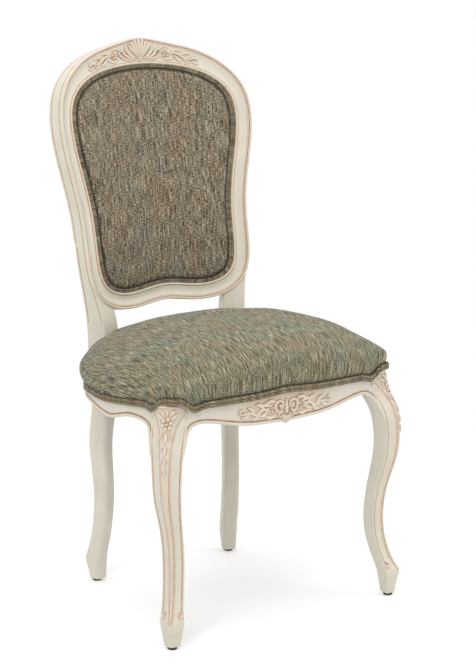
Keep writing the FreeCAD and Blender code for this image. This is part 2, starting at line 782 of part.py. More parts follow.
FEET = (
    ("front_left", Vector(-size("front_foot_half"), -size("front_foot_ahead"), 0)),
    ("front_right", Vector(size("front_foot_half"), -size("front_foot_ahead"), 0)),
    ("rear_left", Vector(-size("rear_foot_half"), size("rear_foot_behind"), 0)),
    ("rear_right", Vector(size("rear_foot_half"), size("rear_foot_behind"), 0)),
)
nails = [nail("glide_nail", place) for word, place in FEET]
DOC.recompute()

front_leg = bored(front_leg, seat_dowels + nails)
rear_post = bored(rear_post, seat_dowels + back_dowels + nails)
front_rail = bored(front_rail, seat_dowels)
side_rail = bored(side_rail, seat_dowels)
rear_rail = bored(rear_rail, seat_dowels)
crest = bored(crest, back_dowels)
lower_rail = bored(lower_rail, back_dowels)
left_leg = front_leg.mirror(Vector(0, 0, 0), Vector(1, 0, 0))
left_post = rear_post.mirror(Vector(0, 0, 0), Vector(1, 0, 0))
left_rail = side_rail.mirror(Vector(0, 0, 0), Vector(1, 0, 0))

# Corner blocks, cut to the leg or post and to both rails
block_high = RAIL_TOP - size("block_drop")
block_low = block_high - size("block_height")
reach = size("block_reach")
rail_back = FACE_Y + size("front_rail_thick")
rear_face = REAR_Y - size("rear_rail_thick") / 2
inner_spots = seat_points(-size("side_rail_thick"))
rail_spots = seat_points(-size("side_rail_thick") / 2)


def block_prism(points):
    corners = [Vector(x, y, block_low) for x, y in points]
    return Part.Face(Part.makePolygon(corners + corners[:1])).extrude(Vector(0, 0, block_high - block_low))


front_long = (BLOCK_INNER - reach, rail_back)
front_short = (rail_spots["side"][0] + 5, BLOCK_BACK + reach)
front_block = block_prism((front_long, (rail_spots["side"][0], rail_back), front_short))
front_block = bored(biggest(front_block.cut([front_leg, side_rail, front_rail])), seat_dowels)
rear_long = (SEAT_POST.x - 26 - reach, rear_face)
rear_short = (rail_spots["turn"][0] - 8, rail_spots["turn"][1] + 4)
rear_block = block_prism((rear_long, (SEAT_POST.x - 10, rear_face), rail_spots["rear_bend"], rear_short))
rear_block = bored(biggest(rear_block.cut([rear_post, side_rail, rear_rail])), seat_dowels)


# Screws of the corner blocks: a shank and a sunk head, square to the block's long face
def screw(label, place, aim):
    shank = DOC.addObject("Part::Cylinder", label + "_shank")
    shank.setExpression("Radius", "sizes.screw_radius")
    shank.setExpression("Height", "sizes.screw_length")
    head = DOC.addObject("Part::Cone", label + "_head")
    head.setExpression("Radius1", "sizes.screw_head_radius")
    head.setExpression("Radius2", "sizes.screw_radius")
    head.setExpression("Height", "sizes.screw_head_radius - sizes.screw_radius + 1")
    for item in (shank, head):
        item.Placement = Placement(place, Rotation(Vector(0, 0, 1), aim))
    whole = DOC.addObject("Part::Fuse", label)
    whole.Base = head
    whole.Tool = shank
    return whole


def long_face_screws(start, end, shares, label):
    begin = Vector(start[0], start[1], block_low + size("screw_level"))
    run = Vector(end[0] - start[0], end[1] - start[1], 0)
    square = Vector(run.y, -run.x, 0).normalize()
    found = []
    for share in shares:
        place = begin + run * share + square * -0.6
        found.append(screw(label, place + square * 1.2, square))
    return found


screws = long_face_screws(front_long, front_short, (0.27, 0.74), "front_block_screw")
screws += long_face_screws(rear_short, rear_long, (0.3, 0.62), "rear_block_screw")
DOC.recompute()
screw_shapes = [item.Shape for item in screws]
front_block = biggest(front_block.cut(screw_shapes))
rear_block = biggest(rear_block.cut(screw_shapes))
far_screws = [shape.mirror(Vector(0, 0, 0), ACROSS) for shape in screw_shapes]
front_rail = biggest(front_rail.cut(screw_shapes + far_screws))
side_rail = biggest(side_rail.cut(screw_shapes))
rear_rail = biggest(rear_rail.cut(screw_shapes + [s.mirror(Vector(0, 0, 0), ACROSS) for s in screw_shapes]))
rear_post = biggest(rear_post.cut(screw_shapes))

leg_item = keep("front_leg_right", front_leg)
mirrored("front_leg_left", leg_item)
post_item = keep("rear_post_right", rear_post)
mirrored("rear_post_left", post_item)
side_item = keep("side_seat_rail_right", side_rail)
mirrored("side_seat_rail_left", side_item)
front_block_item = keep("corner_block_front_right", front_block)
mirrored("corner_block_front_left", front_block_item)
rear_block_item = keep("corner_block_rear_right", rear_block)
mirrored("corner_block_rear_left", rear_block_item)
keep("front_seat_rail", front_rail)
keep("rear_seat_rail", rear_rail)
keep("crest_rail", crest)
keep("lower_back_rail", lower_rail)


def group(label, items):
    item = DOC.addObject("Part::Compound", label)
    item.Label = label
    item.Links = items
    return item


group("seat_frame_dowels", seat_dowels)
group("back_frame_dowels", back_dowels)
group("glide_nails", nails)
group("corner_block_screws", screws + [mirrored("screw_mirrored", item) for item in screws])


# Glides: turned discs with a bevelled tread
def glide(label, place):
    body = DOC.addObject("PartDesign::Body", label)
    body.Label = label
    sketch = body.newObject("Sketcher::SketchObject", label + "_profile")
    plane = [item for item in body.Origin.OriginFeatures if item.Role == "XY_Plane"][0]
    sketch.AttachmentSupport = [(plane, "")]
    sketch.MapMode = "FlatFace"
    sketch.addGeometry(Part.Circle(Vector(0, 0, 0), Vector(0, 0, 1), size("glide_radius")))
    sketch.addConstraint(Sketcher.Constraint("Coincident", 0, 3, -1, 1))
    spot = sketch.addConstraint(Sketcher.Constraint("Radius", 0, size("glide_radius")))
    sketch.setExpression("Constraints[%d]" % spot, "sizes.glide_radius")
    pad = body.newObject("PartDesign::Pad", label + "_pad")
    pad.Profile = sketch
    pad.setExpression("Length", "sizes.glide_height")
    DOC.recompute()
    tread = [
        "Edge%d" % number
        for number, edge in enumerate(pad.Shape.Edges, start=1)
        if edge.BoundBox.ZMax < 0.01
    ]
    bevel = body.newObject("PartDesign::Chamfer", label + "_bevel")
    bevel.Base = (pad, tread)
    bevel.setExpression("Size", "sizes.glide_edge")
    DOC.recompute()
    body.Placement = Placement(place, Rotation())
    return body


glide_bodies = []
for (word, place), pin in zip(FEET, nails):
    disc = glide("disc_" + word, place)
    whole = DOC.addObject("Part::Cut", "foot_glide_" + word)
    whole.Label = "foot_glide_" + word
    whole.Base = disc
    whole.Tool = pin
    glide_bodies.append(whole)


# Webbing: straps tacked across the top of the rails
def strap(label, length, width, place):
    item = DOC.addObject("Part::Box", label)
    item.Length = length
    item.Width = width
    item.setExpression("Height", "sizes.strap_thick")
    item.Placement = Placement(place, Rotation())
    return item


strap_w = size("strap_width")
strap_t = size("strap_thick")
front_end = FACE_Y + 3
lengthwise = []
for step in (-1.5, -0.5, 0.5, 1.5):
    middle = step * size("strap_pitch")
    lengthwise.append(
        strap(
            "lengthwise_strap",
            strap_w,
            REAR_Y + size("rear_rail_thick") / 2 - 3 - front_end,
            Vector(middle - strap_w / 2, front_end, RAIL_TOP),
        )
    )
group("seat_webbing_lengthwise", lengthwise)
crosswise = []
plan = seat_wire(-4, 1.0, lambda x, y: Vector(x, y, 0))
plan_face = Part.Face(plan)
for step in (-1.35, -0.35, 0.65, 1.65):
    middle = step * size("cross_pitch") - 45
    halves = []
    for edge_y in (middle - strap_w / 2, middle + strap_w / 2):
        chord = plan_face.common(line(Vector(-500, edge_y, 0), Vector(500, edge_y, 0)))
        halves.append(chord.BoundBox.XMax)
    half = min(halves)
    corner = Vector(-half, middle - strap_w / 2, RAIL_TOP + strap_t)
    crosswise.append(strap("crosswise_strap", 2 * half, strap_w, corner))
group("seat_webbing_crosswise", crosswise)

# Seat pad: support cloth, foam with its crown, tight cover and welt
cloth_low = RAIL_TOP + 2 * strap_t
cloth_high = cloth_low + size("hessian_thick")
posts_clear = [rear_post, left_post]
hessian = seat_plan(-size("cover_thick") - 6, cloth_low, cloth_high)
hessian = biggest(hessian.cut(posts_clear + [front_leg, left_leg]))
keep("seat_hessian", hessian)
fit = size("fit")
thick = size("cover_thick")
cover_outer = cushion(thick + fit, 3.0, 0.0)
cover_inner = cushion(fit, 3.0, thick)
slab_low = Part.makeBox(900, 900, 200, Vector(-450, -450, cloth_high - 200))
foam = biggest(cover_inner.cut(slab_low).cut(posts_clear + [front_leg, left_leg]))
keep("seat_foam", foam)

cover = cover_outer.cut(cover_inner)
cover = biggest(cover.cut([front_leg, left_leg, rear_post, left_post, rear_rail]))
keep("seat_cover", cover)
high = size("seat_welt_height")
deep = size("seat_welt_thick")
away = thick + 3 * fit
cord = (
    (away, high * 0.04),
    (away + deep * 0.55, 0.0),
    (away + deep, high * 0.25),
    (away + deep * 0.7, high * 0.5),
    (away + deep, high * 0.75),
    (away + deep * 0.55, high),
    (away, high * 0.96),
)
welt = welt_solid(cord, 0.02, 0.98, 96, True)
welt = biggest(welt.cut([rear_post, left_post]))
keep("seat_welt", welt)

# Black cloth under the seat, against the corner blocks
dust = seat_plan(-size("side_rail_thick") - 1, block_low - size("dust_thick"), block_low)
dust_corner = Vector(-450, rail_back + 1, block_low - 40)
dust = dust.common(Part.makeBox(900, rear_face - rail_back - 2, 60, dust_corner))
dust = biggest(dust.cut([front_leg, left_leg, rear_post, left_post, side_rail, left_rail]))
keep("dust_cover", dust)

# Back pad: panel on the ledge, foam, cover with its rolled edge of wadding, welt around it
rebate = size("rebate_depth")
panel_front = rebate - size("back_panel_thick")
keep("back_panel", back_layer(pad_outline(-0.5), panel_front, rebate))
crown = size("back_crown")
welt_w = size("welt_width")
edge_in = welt_w + 0.5
roll = size("back_roll")


def rolled(shape, depth, radius):
    """Round the front edge of a pad."""
    drum = HOLLOW + depth
    axis = BACK_ZERO - THROUGH_BACK * HOLLOW
    edges = []
    for edge in shape.Edges:
        gaps = []
        for point in edge.discretize(Number=7):
            away = point - axis
            flat = away - UP_BACK * away.dot(UP_BACK)
            gaps.append(abs(flat.Length - drum))
        if max(gaps) < 0.2:
            edges.append(edge)
    return shape.makeFillet(radius, edges)


foam_outline = pad_outline(-edge_in - roll - 1)
back_foam = back_layer(foam_outline, thick - crown, panel_front)
keep("back_foam", back_foam)
back_cover = rolled(back_layer(pad_outline(-edge_in), -crown, panel_front), -crown, roll)
keep("inside_back_cover", biggest(back_cover.cut(back_foam)))
welt_ring = pad_outline(-0.4).cut(pad_outline(-welt_w)).Faces[0]
back_welt = back_layer(welt_ring, -size("welt_proud"), panel_front)
keep("inside_back_welt", rolled(back_welt, -size("welt_proud"), welt_w * 0.32))
frame_d = size("frame_depth")
keep("outside_back_cover", back_layer(pad_outline(-2.4), frame_d - size("rear_rebate"), frame_d))
rear_ring = pad_outline(2).cut(pad_outline(-6)).Faces[0]
rear_welt = back_layer(rear_ring, frame_d, frame_d + size("rear_welt_thick"))
keep("outside_back_welt", biggest(rear_welt.cut([rear_post, left_post])))

DOC.recompute()

NODES = (
    "rear_post_left",
    "rear_post_right",
    "crest_rail",
    "lower_back_rail",
    "front_leg_left",
    "front_leg_right",
    "front_seat_rail",
    "side_seat_rail_left",
    "side_seat_rail_right",
    "rear_seat_rail",
    "corner_block_front_left",
    "corner_block_front_right",
    "corner_block_rear_left",
    "corner_block_rear_right",
    "corner_block_screws",
    "seat_frame_dowels",
    "back_frame_dowels",
    "seat_webbing_lengthwise",
    "seat_webbing_crosswise",
    "seat_hessian",
    "seat_foam",
    "seat_cover",
    "seat_welt",
    "dust_cover",
    "back_panel",
    "back_foam",
    "inside_back_cover",
    "inside_back_welt",
    "outside_back_cover",
    "outside_back_welt",
    "foot_glide_front_left",
    "foot_glide_front_right",
    "foot_glide_rear_left",
    "foot_glide_rear_right",
    "glide_nails",
)
for item in DOC.Objects:
    if "Invalid" in item.State or "Error" in item.State:
        raise RuntimeError("object failed: " + item.Label)
os.makedirs("parts", exist_ok=True)
for node in NODES:
    item = DOC.getObjectsByLabel(node)[0]
    if item.Shape.isNull() or not item.Shape.isValid():
        raise RuntimeError("shape failed: " + node)
    item.Shape.exportStep("parts/%s.step" % node)
    print(node, len(item.Shape.Solids), round(item.Shape.Volume / 1000, 2))
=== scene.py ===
# %% [markdown]
# # A painted side chair with a cartouche back
# The chair has a carved beech frame in antique ivory paint, a tight crowned seat and a set-in
# back pad, both in a slubbed tweed. The plain solids come in as a fixed frame. Most that can be seen
# are then replaced by finer pieces in the same place, in metres, with +Z up and the front towards -Y.

# %% Load the plain chair
import math

import bmesh
import bpy
import numpy as np
from mathutils import Matrix, Vector


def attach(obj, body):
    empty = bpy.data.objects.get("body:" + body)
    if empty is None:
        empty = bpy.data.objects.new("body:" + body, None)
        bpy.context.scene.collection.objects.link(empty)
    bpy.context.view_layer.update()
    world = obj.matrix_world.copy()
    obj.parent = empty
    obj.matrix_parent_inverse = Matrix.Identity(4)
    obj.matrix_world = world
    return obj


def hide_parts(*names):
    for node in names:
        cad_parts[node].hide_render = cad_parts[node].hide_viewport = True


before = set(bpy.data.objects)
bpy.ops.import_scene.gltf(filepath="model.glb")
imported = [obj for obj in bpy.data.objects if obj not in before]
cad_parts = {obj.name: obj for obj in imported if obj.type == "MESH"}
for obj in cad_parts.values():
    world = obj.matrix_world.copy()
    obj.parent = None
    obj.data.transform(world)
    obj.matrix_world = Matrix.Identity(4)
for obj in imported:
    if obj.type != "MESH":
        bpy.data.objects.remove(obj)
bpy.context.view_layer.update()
scene = bpy.context.scene

# %% [markdown]
# ## Tools of the bench
# Every piece of this chair is bent, so a maker marks a few points and draws a fair line through them.
# Curve objects could do that too, but a moulding needs its depth, its glaze and its cloth worked out at
# every point. So the lines are plain arrays here, and a grid of points becomes the faces of a piece.

# %% Smooth lines
MM = 0.001


def through(knots, values, at):
    """A cubic curve through given values, read at the places asked for."""
    knots = np.asarray(knots, float)
    values = np.asarray(values, float)
    count = len(knots)
    gap = np.diff(knots)
    shape = (-1,) + (1,) * (values.ndim - 1)
    slope = np.diff(values, axis=0) / gap.reshape(shape)
    left = np.eye(count)
    right = np.zeros_like(values)
    for i in range(1, count - 1):
        left[i, i - 1 : i + 2] = gap[i - 1], 2 * (gap[i - 1] + gap[i]), gap[i]
        right[i] = 6 * (slope[i] - slope[i - 1])
    bend = np.linalg.solve(left, right)
    at = np.asarray(at, float)
    i = np.clip(np.searchsorted(knots, at) - 1, 0, count - 2)
    h = gap[i]
    a = ((knots[i + 1] - at) / h).reshape(at.shape + (1,) * (values.ndim - 1))
    b = 1 - a
    h = h.reshape(a.shape)
    curve = ((a**3 - a) * bend[i] + (b**3 - b) * bend[i + 1]) * h * h / 6
    return a * values[i] + b * values[i + 1] + curve


def along(points, count, closed=False):
    """Evenly spaced points on the smooth line through given ones."""
    points = np.asarray(points, float)
    lap = 4
    if closed:
        points = np.vstack([points[-lap:], points, points[: lap + 1]])
    steps = np.linalg.norm(np.diff(points, axis=0), axis=1)
    knots = np.concatenate([[0], np.cumsum(steps)])
    start, end = (knots[lap], knots[-lap - 1]) if closed else (0, knots[-1])
    fine = through(knots, points, np.linspace(start, end, 4001))
    run = np.concatenate([[0], np.cumsum(np.linalg.norm(np.diff(fine, axis=0), axis=1))])
    places = np.linspace(0, run[-1], count + 1)[:-1] if closed else np.linspace(0, run[-1], count)
    return np.stack([np.interp(places, run, fine[:, k]) for k in range(points.shape[1])], axis=1)


print("middle of a smooth line:", along(((0, 0), (1, 1), (2, 0)), 3)[1].round(3).tolist())

# %% Arcs and soft sections
def arc3(first, second, third, count):
    """Points of the circle's arc through three points in plan."""
    (ax, ay), (bx, by), (cx, cy) = first, second, third
    twice = 2 * (ax * (by - cy) + bx * (cy - ay) + cx * (ay - by))
    a2, b2, c2 = ax * ax + ay * ay, bx * bx + by * by, cx * cx + cy * cy
    ux = (a2 * (by - cy) + b2 * (cy - ay) + c2 * (ay - by)) / twice
    uy = (a2 * (cx - bx) + b2 * (ax - cx) + c2 * (bx - ax)) / twice
    turn = [math.atan2(y - uy, x - ux) for x, y in (first, second, third)]
    turn = np.unwrap(turn)
    angle = np.linspace(turn[0], turn[2], count)
    radius = math.hypot(ax - ux, ay - uy)
    return np.stack([ux + radius * np.cos(angle), uy + radius * np.sin(angle)], axis=1)


def hump(distance, half):
    """A round bead's section: 1 in the middle, 0 at half its width."""
    return np.sqrt(np.clip(1 - (distance / half) ** 2, 0, 1))


def ease(share):
    """A smooth step from 0 to 1."""
    share = np.clip(share, 0, 1)
    return share * share * (3 - 2 * share)


def line_at(distance, half):
    """A soft groove's section: 1 in the middle, fading on both sides."""
    return np.exp(-((distance / half) ** 2))


print("a bead half way out from its middle:", round(float(hump(0.5, 1.0)), 3))

# %% Stocks of faces
def new_stock():
    """An empty stock: points, faces, glaze on wood and painted shade on cloth, and cloth coordinates of
    each point.
    """
    return {"points": [], "faces": [], "glaze_and_shade": [], "cloth": [], "count": 0}


def lay_grid(stock, points, glaze_and_shade=0.0, loop=False, ends=False, cloth=None, side=1):
    """Adds a grid of points, in millimetres, with its glaze (painted shade on cloth) and its cloth
    coordinates.
    """
    points = np.array(points, float)
    points[..., 0] *= side
    rows, cols = points.shape[:2]
    index = stock["count"] + np.arange(rows * cols).reshape(rows, cols)
    here = index if loop else index[:, :-1]
    next_one = np.roll(index, -1, axis=1) if loop else index[:, 1:]
    quads = np.stack([here[:-1], next_one[:-1], next_one[1:], here[1:]], axis=-1)
    stock["faces"] += quads.reshape(-1, 4).tolist()
    if ends:
        stock["faces"] += [index[0][::-1].tolist(), index[-1].tolist()]
    stock["points"].append(points.reshape(-1, 3) * MM)
    stock["glaze_and_shade"].append(np.broadcast_to(glaze_and_shade, (rows, cols)).reshape(-1))
    flat = np.zeros((rows, cols, 2)) if cloth is None else np.asarray(cloth, float)
    stock["cloth"].append(flat.reshape(-1, 2) * MM)
    stock["count"] += rows * cols


trial = new_stock()
lay_grid(trial, np.zeros((3, 4, 3)))
print("faces between 3 rows of 4 points:", len(trial["faces"]))

# %% From a stock to a piece
WELD = 2e-6


def make_piece(name, stock, material, crease=38.0, weld=False):
    """Turns a stock into an object: outward normals, smooth faces, creased arrises."""
    mesh = bpy.data.meshes.new(name)
    mesh.from_pydata(np.vstack(stock["points"]).tolist(), [], stock["faces"])
    glaze_and_shade = mesh.attributes.new("glaze_and_shade", "FLOAT", "POINT")
    glaze_and_shade.data.foreach_set("value", np.concatenate(stock["glaze_and_shade"]).astype(np.float32))
    corner = np.empty(len(mesh.loops), np.int32)
    mesh.loops.foreach_get("vertex_index", corner)
    cloth = np.vstack(stock["cloth"])[corner]
    mesh.uv_layers.new(name="cloth").data.foreach_set("uv", cloth.astype(np.float32).ravel())
    made = bmesh.new()
    made.from_mesh(mesh)
    if weld:
        bmesh.ops.remove_doubles(made, verts=made.verts, dist=WELD)
    bmesh.ops.recalc_face_normals(made, faces=made.faces)
    made.to_mesh(mesh)
    made.free()
    mesh.polygons.foreach_set("use_smooth", np.ones(len(mesh.polygons), bool))
    mesh.set_sharp_from_angle(angle=math.radians(crease))
    mesh.materials.append(material)
    piece = bpy.data.objects.new(name, mesh)
    scene.collection.objects.link(piece)
    print("made", name, len(mesh.polygons), "faces")
    return piece


def fit_out(piece, slot, *nodes):
    """Sets the piece on the chair: its body and the solids it stands for, which it hides. The slot is not
    used.
    """
    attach(piece, "root")
    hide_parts(*nodes)
    return piece


# %% [markdown]
# ## Finishes
# The frame is beech under brushed ivory paint. A brown glaze was wiped over it and stayed in the
# grooves and round the carving. A pointiness or dirt node could guess such places, but the moulding
# already knows them, so each mesh carries the amount in an attribute. The cloth pieces carry painted
# shade in the same attribute: dark in the gaps round the welts, and darker towards the bottom of the
# back pad. The cloth is a wool-like tweed whose thick and thin yarns give pale slubs. Its threads
# follow each piece's own cloth coordinates.

# %% Nodes and colours
def ink(code):
    """An sRGB hex colour as the linear one that shaders use."""
    parts = [int(code[i : i + 2], 16) / 255 for i in (1, 3, 5)]
    return tuple(p / 12.92 if p <= 0.04045 else ((p + 0.055) / 1.055) ** 2.4 for p in parts) + (1.0,)


def add(tree, kind, inputs=None, stops=(), **settings):
    """One node: an input is a value or a socket to link, and stops are a ramp's places and colours."""
    node = tree.nodes.new(kind)
    for word, value in settings.items():
        setattr(node, word, value)
    for word, value in (inputs or {}).items():
        if isinstance(value, bpy.types.NodeSocket):
            tree.links.new(value, node.inputs[word])
        else:
            node.inputs[word].default_value = value
    if stops:
        band = node.color_ramp.elements
        while len(band) < len(stops):
            band.new(0.5)
        for element, (place, code) in zip(band, stops):
            element.position = place
            element.color = ink(code)
    return node


def finish_named(name):
    """A new material with its node tree and its shader."""
    material = bpy.data.materials.new(name)
    material.use_nodes = True
    tree = material.node_tree
    return material, tree, tree.nodes["Principled BSDF"]


print("ivory in linear light:", [round(v, 3) for v in ink("#E8E2D3")])

# %% Ivory paint with a brown glaze
# Satin paint, brushed on beech: a soft sheen, faint brush lines and a tone that clouds a little. The
# glaze was wiped with a rag, so it is uneven over a few millimetres.
CLOUD = 40 * MM
WIPE = 5 * MM
paint, tree, shader = finish_named("ivory_paint_brown_glaze")
spot = add(tree, "ShaderNodeTexCoord").outputs["Object"]
glaze_and_shade = add(tree, "ShaderNodeAttribute", attribute_name="glaze_and_shade").outputs["Fac"]
cloud = add(tree, "ShaderNodeTexNoise", {"Vector": spot, "Scale": 1 / CLOUD, "Detail": 3.0})
specks = add(tree, "ShaderNodeTexNoise", {"Vector": spot, "Scale": 1 / WIPE, "Detail": 4.0})
wiped = add(
    tree,
    "ShaderNodeMapRange",
    {"Value": specks.outputs["Fac"], "From Min": 0.3, "From Max": 0.7, "To Min": 0.7, "To Max": 1.15},
)
amount = add(tree, "ShaderNodeMath", {0: glaze_and_shade, 1: wiped.outputs["Result"]}, operation="MULTIPLY")
ground = add(
    tree,
    "ShaderNodeValToRGB",
    {"Fac": cloud.outputs["Fac"]},
    ((0.3, "#DFD8C6"), (0.7, "#E8E2D3")),
)
stain = add(
    tree,
    "ShaderNodeValToRGB",
    {"Fac": amount.outputs["Value"]},
    ((0.0, "#E5DCCD"), (0.3, "#E2CCB3"), (0.62, "#C2A184"), (1.0, "#84634A")),
)
cover = add(
    tree,
    "ShaderNodeMapRange",
    {"Value": amount.outputs["Value"], "From Min": 0.02, "From Max": 0.3},
)
coat = add(
    tree,
    "ShaderNodeMix",
    {0: cover.outputs["Result"], 6: ground.outputs["Color"], 7: stain.outputs["Color"]},
    data_type="RGBA",
)
tree.links.new(coat.outputs[2], shader.inputs["Base Color"])
print("tone of", paint.name, "with", len(tree.nodes), "nodes")

# %% Brush lines of the paint
BRISTLE = 1.1 * MM
STROKE = 22 * MM
brush = add(
    tree,
    "ShaderNodeMapping",
    {"Vector": spot, "Scale": (1 / BRISTLE, 1 / BRISTLE, 1 / STROKE)},
)
bristle = add(tree, "ShaderNodeTexNoise", {"Vector": brush.outputs["Vector"], "Scale": 1.0, "Detail": 2.0})
relief = add(
    tree,
    "ShaderNodeBump",
    {"Height": bristle.outputs["Fac"], "Strength": 0.12, "Distance": 0.4 * MM},
)
tree.links.new(relief.outputs["Normal"], shader.inputs["Normal"])
shader.inputs["Roughness"].default_value = 0.42
shader.inputs["IOR"].default_value = 1.47
print("finish", paint.name, "with", len(tree.nodes), "nodes")

# %% Yarns
# Woven cloth with thick and thin yarns. Single threads of 0.6 mm would not show, so the yarns are
# drawn about 1.2 mm wide and 30 mm long. Slubs are longer, and the colour drifts over a hand's width.
# To the eye it is a drab, matt ground with pale flecks that run one way.
# Width and length in millimetres, detail, and where the layer starts
STREAK = (1.15, 30, 2.5, 3.1)
PICK = (7.0, 1.2, 1.5, 11.7)
SLUB = (1.3, 46, 1.0, 23.9)
PATCH = (55, 75, 2.0, 41.3)


def threads(tree, flat, width, length, detail, start):
    """One layer of the weave: noise drawn out to the size of its threads."""
    scale = (1 / (width * MM), 1 / (length * MM), 1)
    place = add(
        tree,
        "ShaderNodeMapping",
        {"Vector": flat, "Location": (start, start * 0.7, 0), "Scale": scale},
    )
    return add(
        tree,
        "ShaderNodeTexNoise",
        {"Vector": place.outputs["Vector"], "Scale": 1.0, "Detail": detail, "Roughness": 0.6},
        noise_dimensions="2D",
    ).outputs["Fac"]


print("yarns", STREAK[0], "mm wide, slubs up to", SLUB[1], "mm long")

# %% Slubbed tweed
def tweed(name, dark, mid, pale, drift, cross):
    """Tweed in three tones of yarn and three of drift, with painted shade; cross is the share of the
    crosswise yarns.
    """
    cloth, tree, shader = finish_named(name)
    flat = add(tree, "ShaderNodeUVMap", uv_map="cloth").outputs["UV"]
    glaze_and_shade = add(tree, "ShaderNodeAttribute", attribute_name="glaze_and_shade").outputs["Fac"]
    streak = threads(tree, flat, *STREAK)
    pick = threads(tree, flat, *PICK)
    slub = threads(tree, flat, *SLUB)
    patch = threads(tree, flat, *PATCH)
    body = add(tree, "ShaderNodeMix", {0: cross, 2: streak, 3: pick}, data_type="FLOAT")
    yarn = add(
        tree,
        "ShaderNodeValToRGB",
        {"Fac": body.outputs[0]},
        ((0.38, dark), (0.5, mid), (0.62, pale)),
    )
    hue = add(tree, "ShaderNodeValToRGB", {"Fac": patch}, tuple(zip((0.34, 0.5, 0.66), drift)))
    tint = add(
        tree,
        "ShaderNodeMix",
        {0: 0.6, 6: yarn.outputs["Color"], 7: hue.outputs["Color"]},
        data_type="RGBA",
        blend_type="SOFT_LIGHT",
    )
    fleck = add(
        tree,
        "ShaderNodeMapRange",
        {"Value": slub, "From Min": 0.62, "From Max": 0.74, "To Max": 0.6},
    )
    lit = add(
        tree,
        "ShaderNodeMix",
        {0: fleck.outputs["Result"], 6: tint.outputs[2], 7: ink("#C9BFA6")},
        data_type="RGBA",
    )
    # Painted shade: near black where a piece carries shade, in the gaps round the welts and low on the back
    # pad.
    gap_shade = add(tree, "ShaderNodeMath", {0: glaze_and_shade, 1: 0.85}, operation="MULTIPLY")
    shaded_cloth = add(
        tree,
        "ShaderNodeMix",
        {0: gap_shade.outputs["Value"], 6: lit.outputs[2], 7: ink("#231F17")},
        data_type="RGBA",
    )
    height = add(tree, "ShaderNodeMath", {0: body.outputs[0], 1: slub}, operation="ADD")
    relief = add(
        tree,
        "ShaderNodeBump",
        {"Height": height.outputs["Value"], "Strength": 0.6, "Distance": 0.9 * MM},
    )
    tree.links.new(shaded_cloth.outputs[2], shader.inputs["Base Color"])
    tree.links.new(relief.outputs["Normal"], shader.inputs["Normal"])
    shader.inputs["Roughness"].default_value = 0.92
    shader.inputs["Specular IOR Level"].default_value = 0.25
    shader.inputs["Sheen Weight"].default_value = 0.15
    shader.inputs["Sheen Roughness"].default_value = 0.5
    print("finish", name, "with", len(tree.nodes), "nodes")
    return cloth


# %% Three dyes of the tweed
SEAT_DRIFT = ("#6A8480", "#86836E", "#957A58")
BACK_DRIFT = ("#7F8078", "#867B69", "#937657")
WELT_DRIFT = ("#8A8775", "#91846C", "#97805F")
seat_tweed = tweed("tweed_seat", "#3D3C33", "#84806C", "#D3CCB6", SEAT_DRIFT, 0.36)
back_tweed = tweed("tweed_back", "#39342B", "#837968", "#D2C8B4", BACK_DRIFT, 0.48)
welt_tweed = tweed("tweed_welt", "#443D31", "#857A66", "#C3B8A0", WELT_DRIFT, 0.45)

# %% Nylon, steel, bare beech and the cloths under the seat
# Moulded nylon is near black and dull. Zinc plating is a soft grey metal. Bare beech is pinkish brown
# with fine grain along the piece, and bent board is a darker brown. Jute and hessian are coarse and
# straw-coloured, and the lining is a felted black cloth.
def plain_finish(name, low, high, grain, rough, stretch=(1, 1, 1), bump=0.1, metal=0.0):
    """A finish whose tone and surface follow one grain size, in millimetres."""
    material, tree, shader = finish_named(name)
    spot = add(tree, "ShaderNodeTexCoord").outputs["Object"]
    scale = tuple(share / (grain * MM) for share in stretch)
    place = add(tree, "ShaderNodeMapping", {"Vector": spot, "Scale": scale})
    grit = add(tree, "ShaderNodeTexNoise", {"Vector": place.outputs["Vector"], "Scale": 1.0, "Detail": 4.0})
    tone = add(
        tree,
        "ShaderNodeValToRGB",
        {"Fac": grit.outputs["Fac"]},
        ((0.35, low), (0.65, high)),
    )
    relief = add(
        tree,
        "ShaderNodeBump",
        {"Height": grit.outputs["Fac"], "Strength": bump, "Distance": 0.3 * MM},
    )
    tree.links.new(tone.outputs["Color"], shader.inputs["Base Color"])
    tree.links.new(relief.outputs["Normal"], shader.inputs["Normal"])
    shader.inputs["Roughness"].default_value = rough
    shader.inputs["Metallic"].default_value = metal
    print("finish", name, "with", len(tree.nodes), "nodes")
    return material


nylon = plain_finish("black_moulded_nylon", "#131212", "#1E1C1B", 1.2, 0.45)
steel = plain_finish("zinc_plated_steel", "#9C9A95", "#B5B3AE", 0.8, 0.35, metal=1.0)
beech = plain_finish("bare_beech", "#B8946A", "#CFAF86", 3.0, 0.6, (1, 1, 0.12))
board = plain_finish("bent_panel_board", "#9C7C58", "#B39470", 2.0, 0.7)
jute = plain_finish("jute_webbing", "#8B7145", "#AB9161", 1.5, 0.95, bump=0.5)
hessian = plain_finish("hessian_cloth", "#9A8258", "#BBA478", 1.0, 0.95, bump=0.5)
lining = plain_finish("black_lining_cloth", "#161514", "#262422", 1.5, 0.95, bump=0.4)

# %% Paint the solids that stay as they are
nodes_by_finish = (
    (steel, ("glide_nails", "corner_block_screws")),
    (beech, ("seat_frame_dowels", "back_frame_dowels")),
    (beech, ("corner_block_front_left", "corner_block_front_right")),
    (beech, ("corner_block_rear_left", "corner_block_rear_right")),
    (board, ("back_panel",)),
    (jute, ("seat_webbing_lengthwise", "seat_webbing_crosswise")),
    (hessian, ("seat_hessian",)),
    (paint, ("rear_seat_rail",)),
)
for finish, words in nodes_by_finish:
    for word in words:
        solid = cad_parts[word]
        solid.data.materials.clear()
        solid.data.materials.append(finish)
print("solids painted:", sum(len(words) for finish, words in nodes_by_finish))
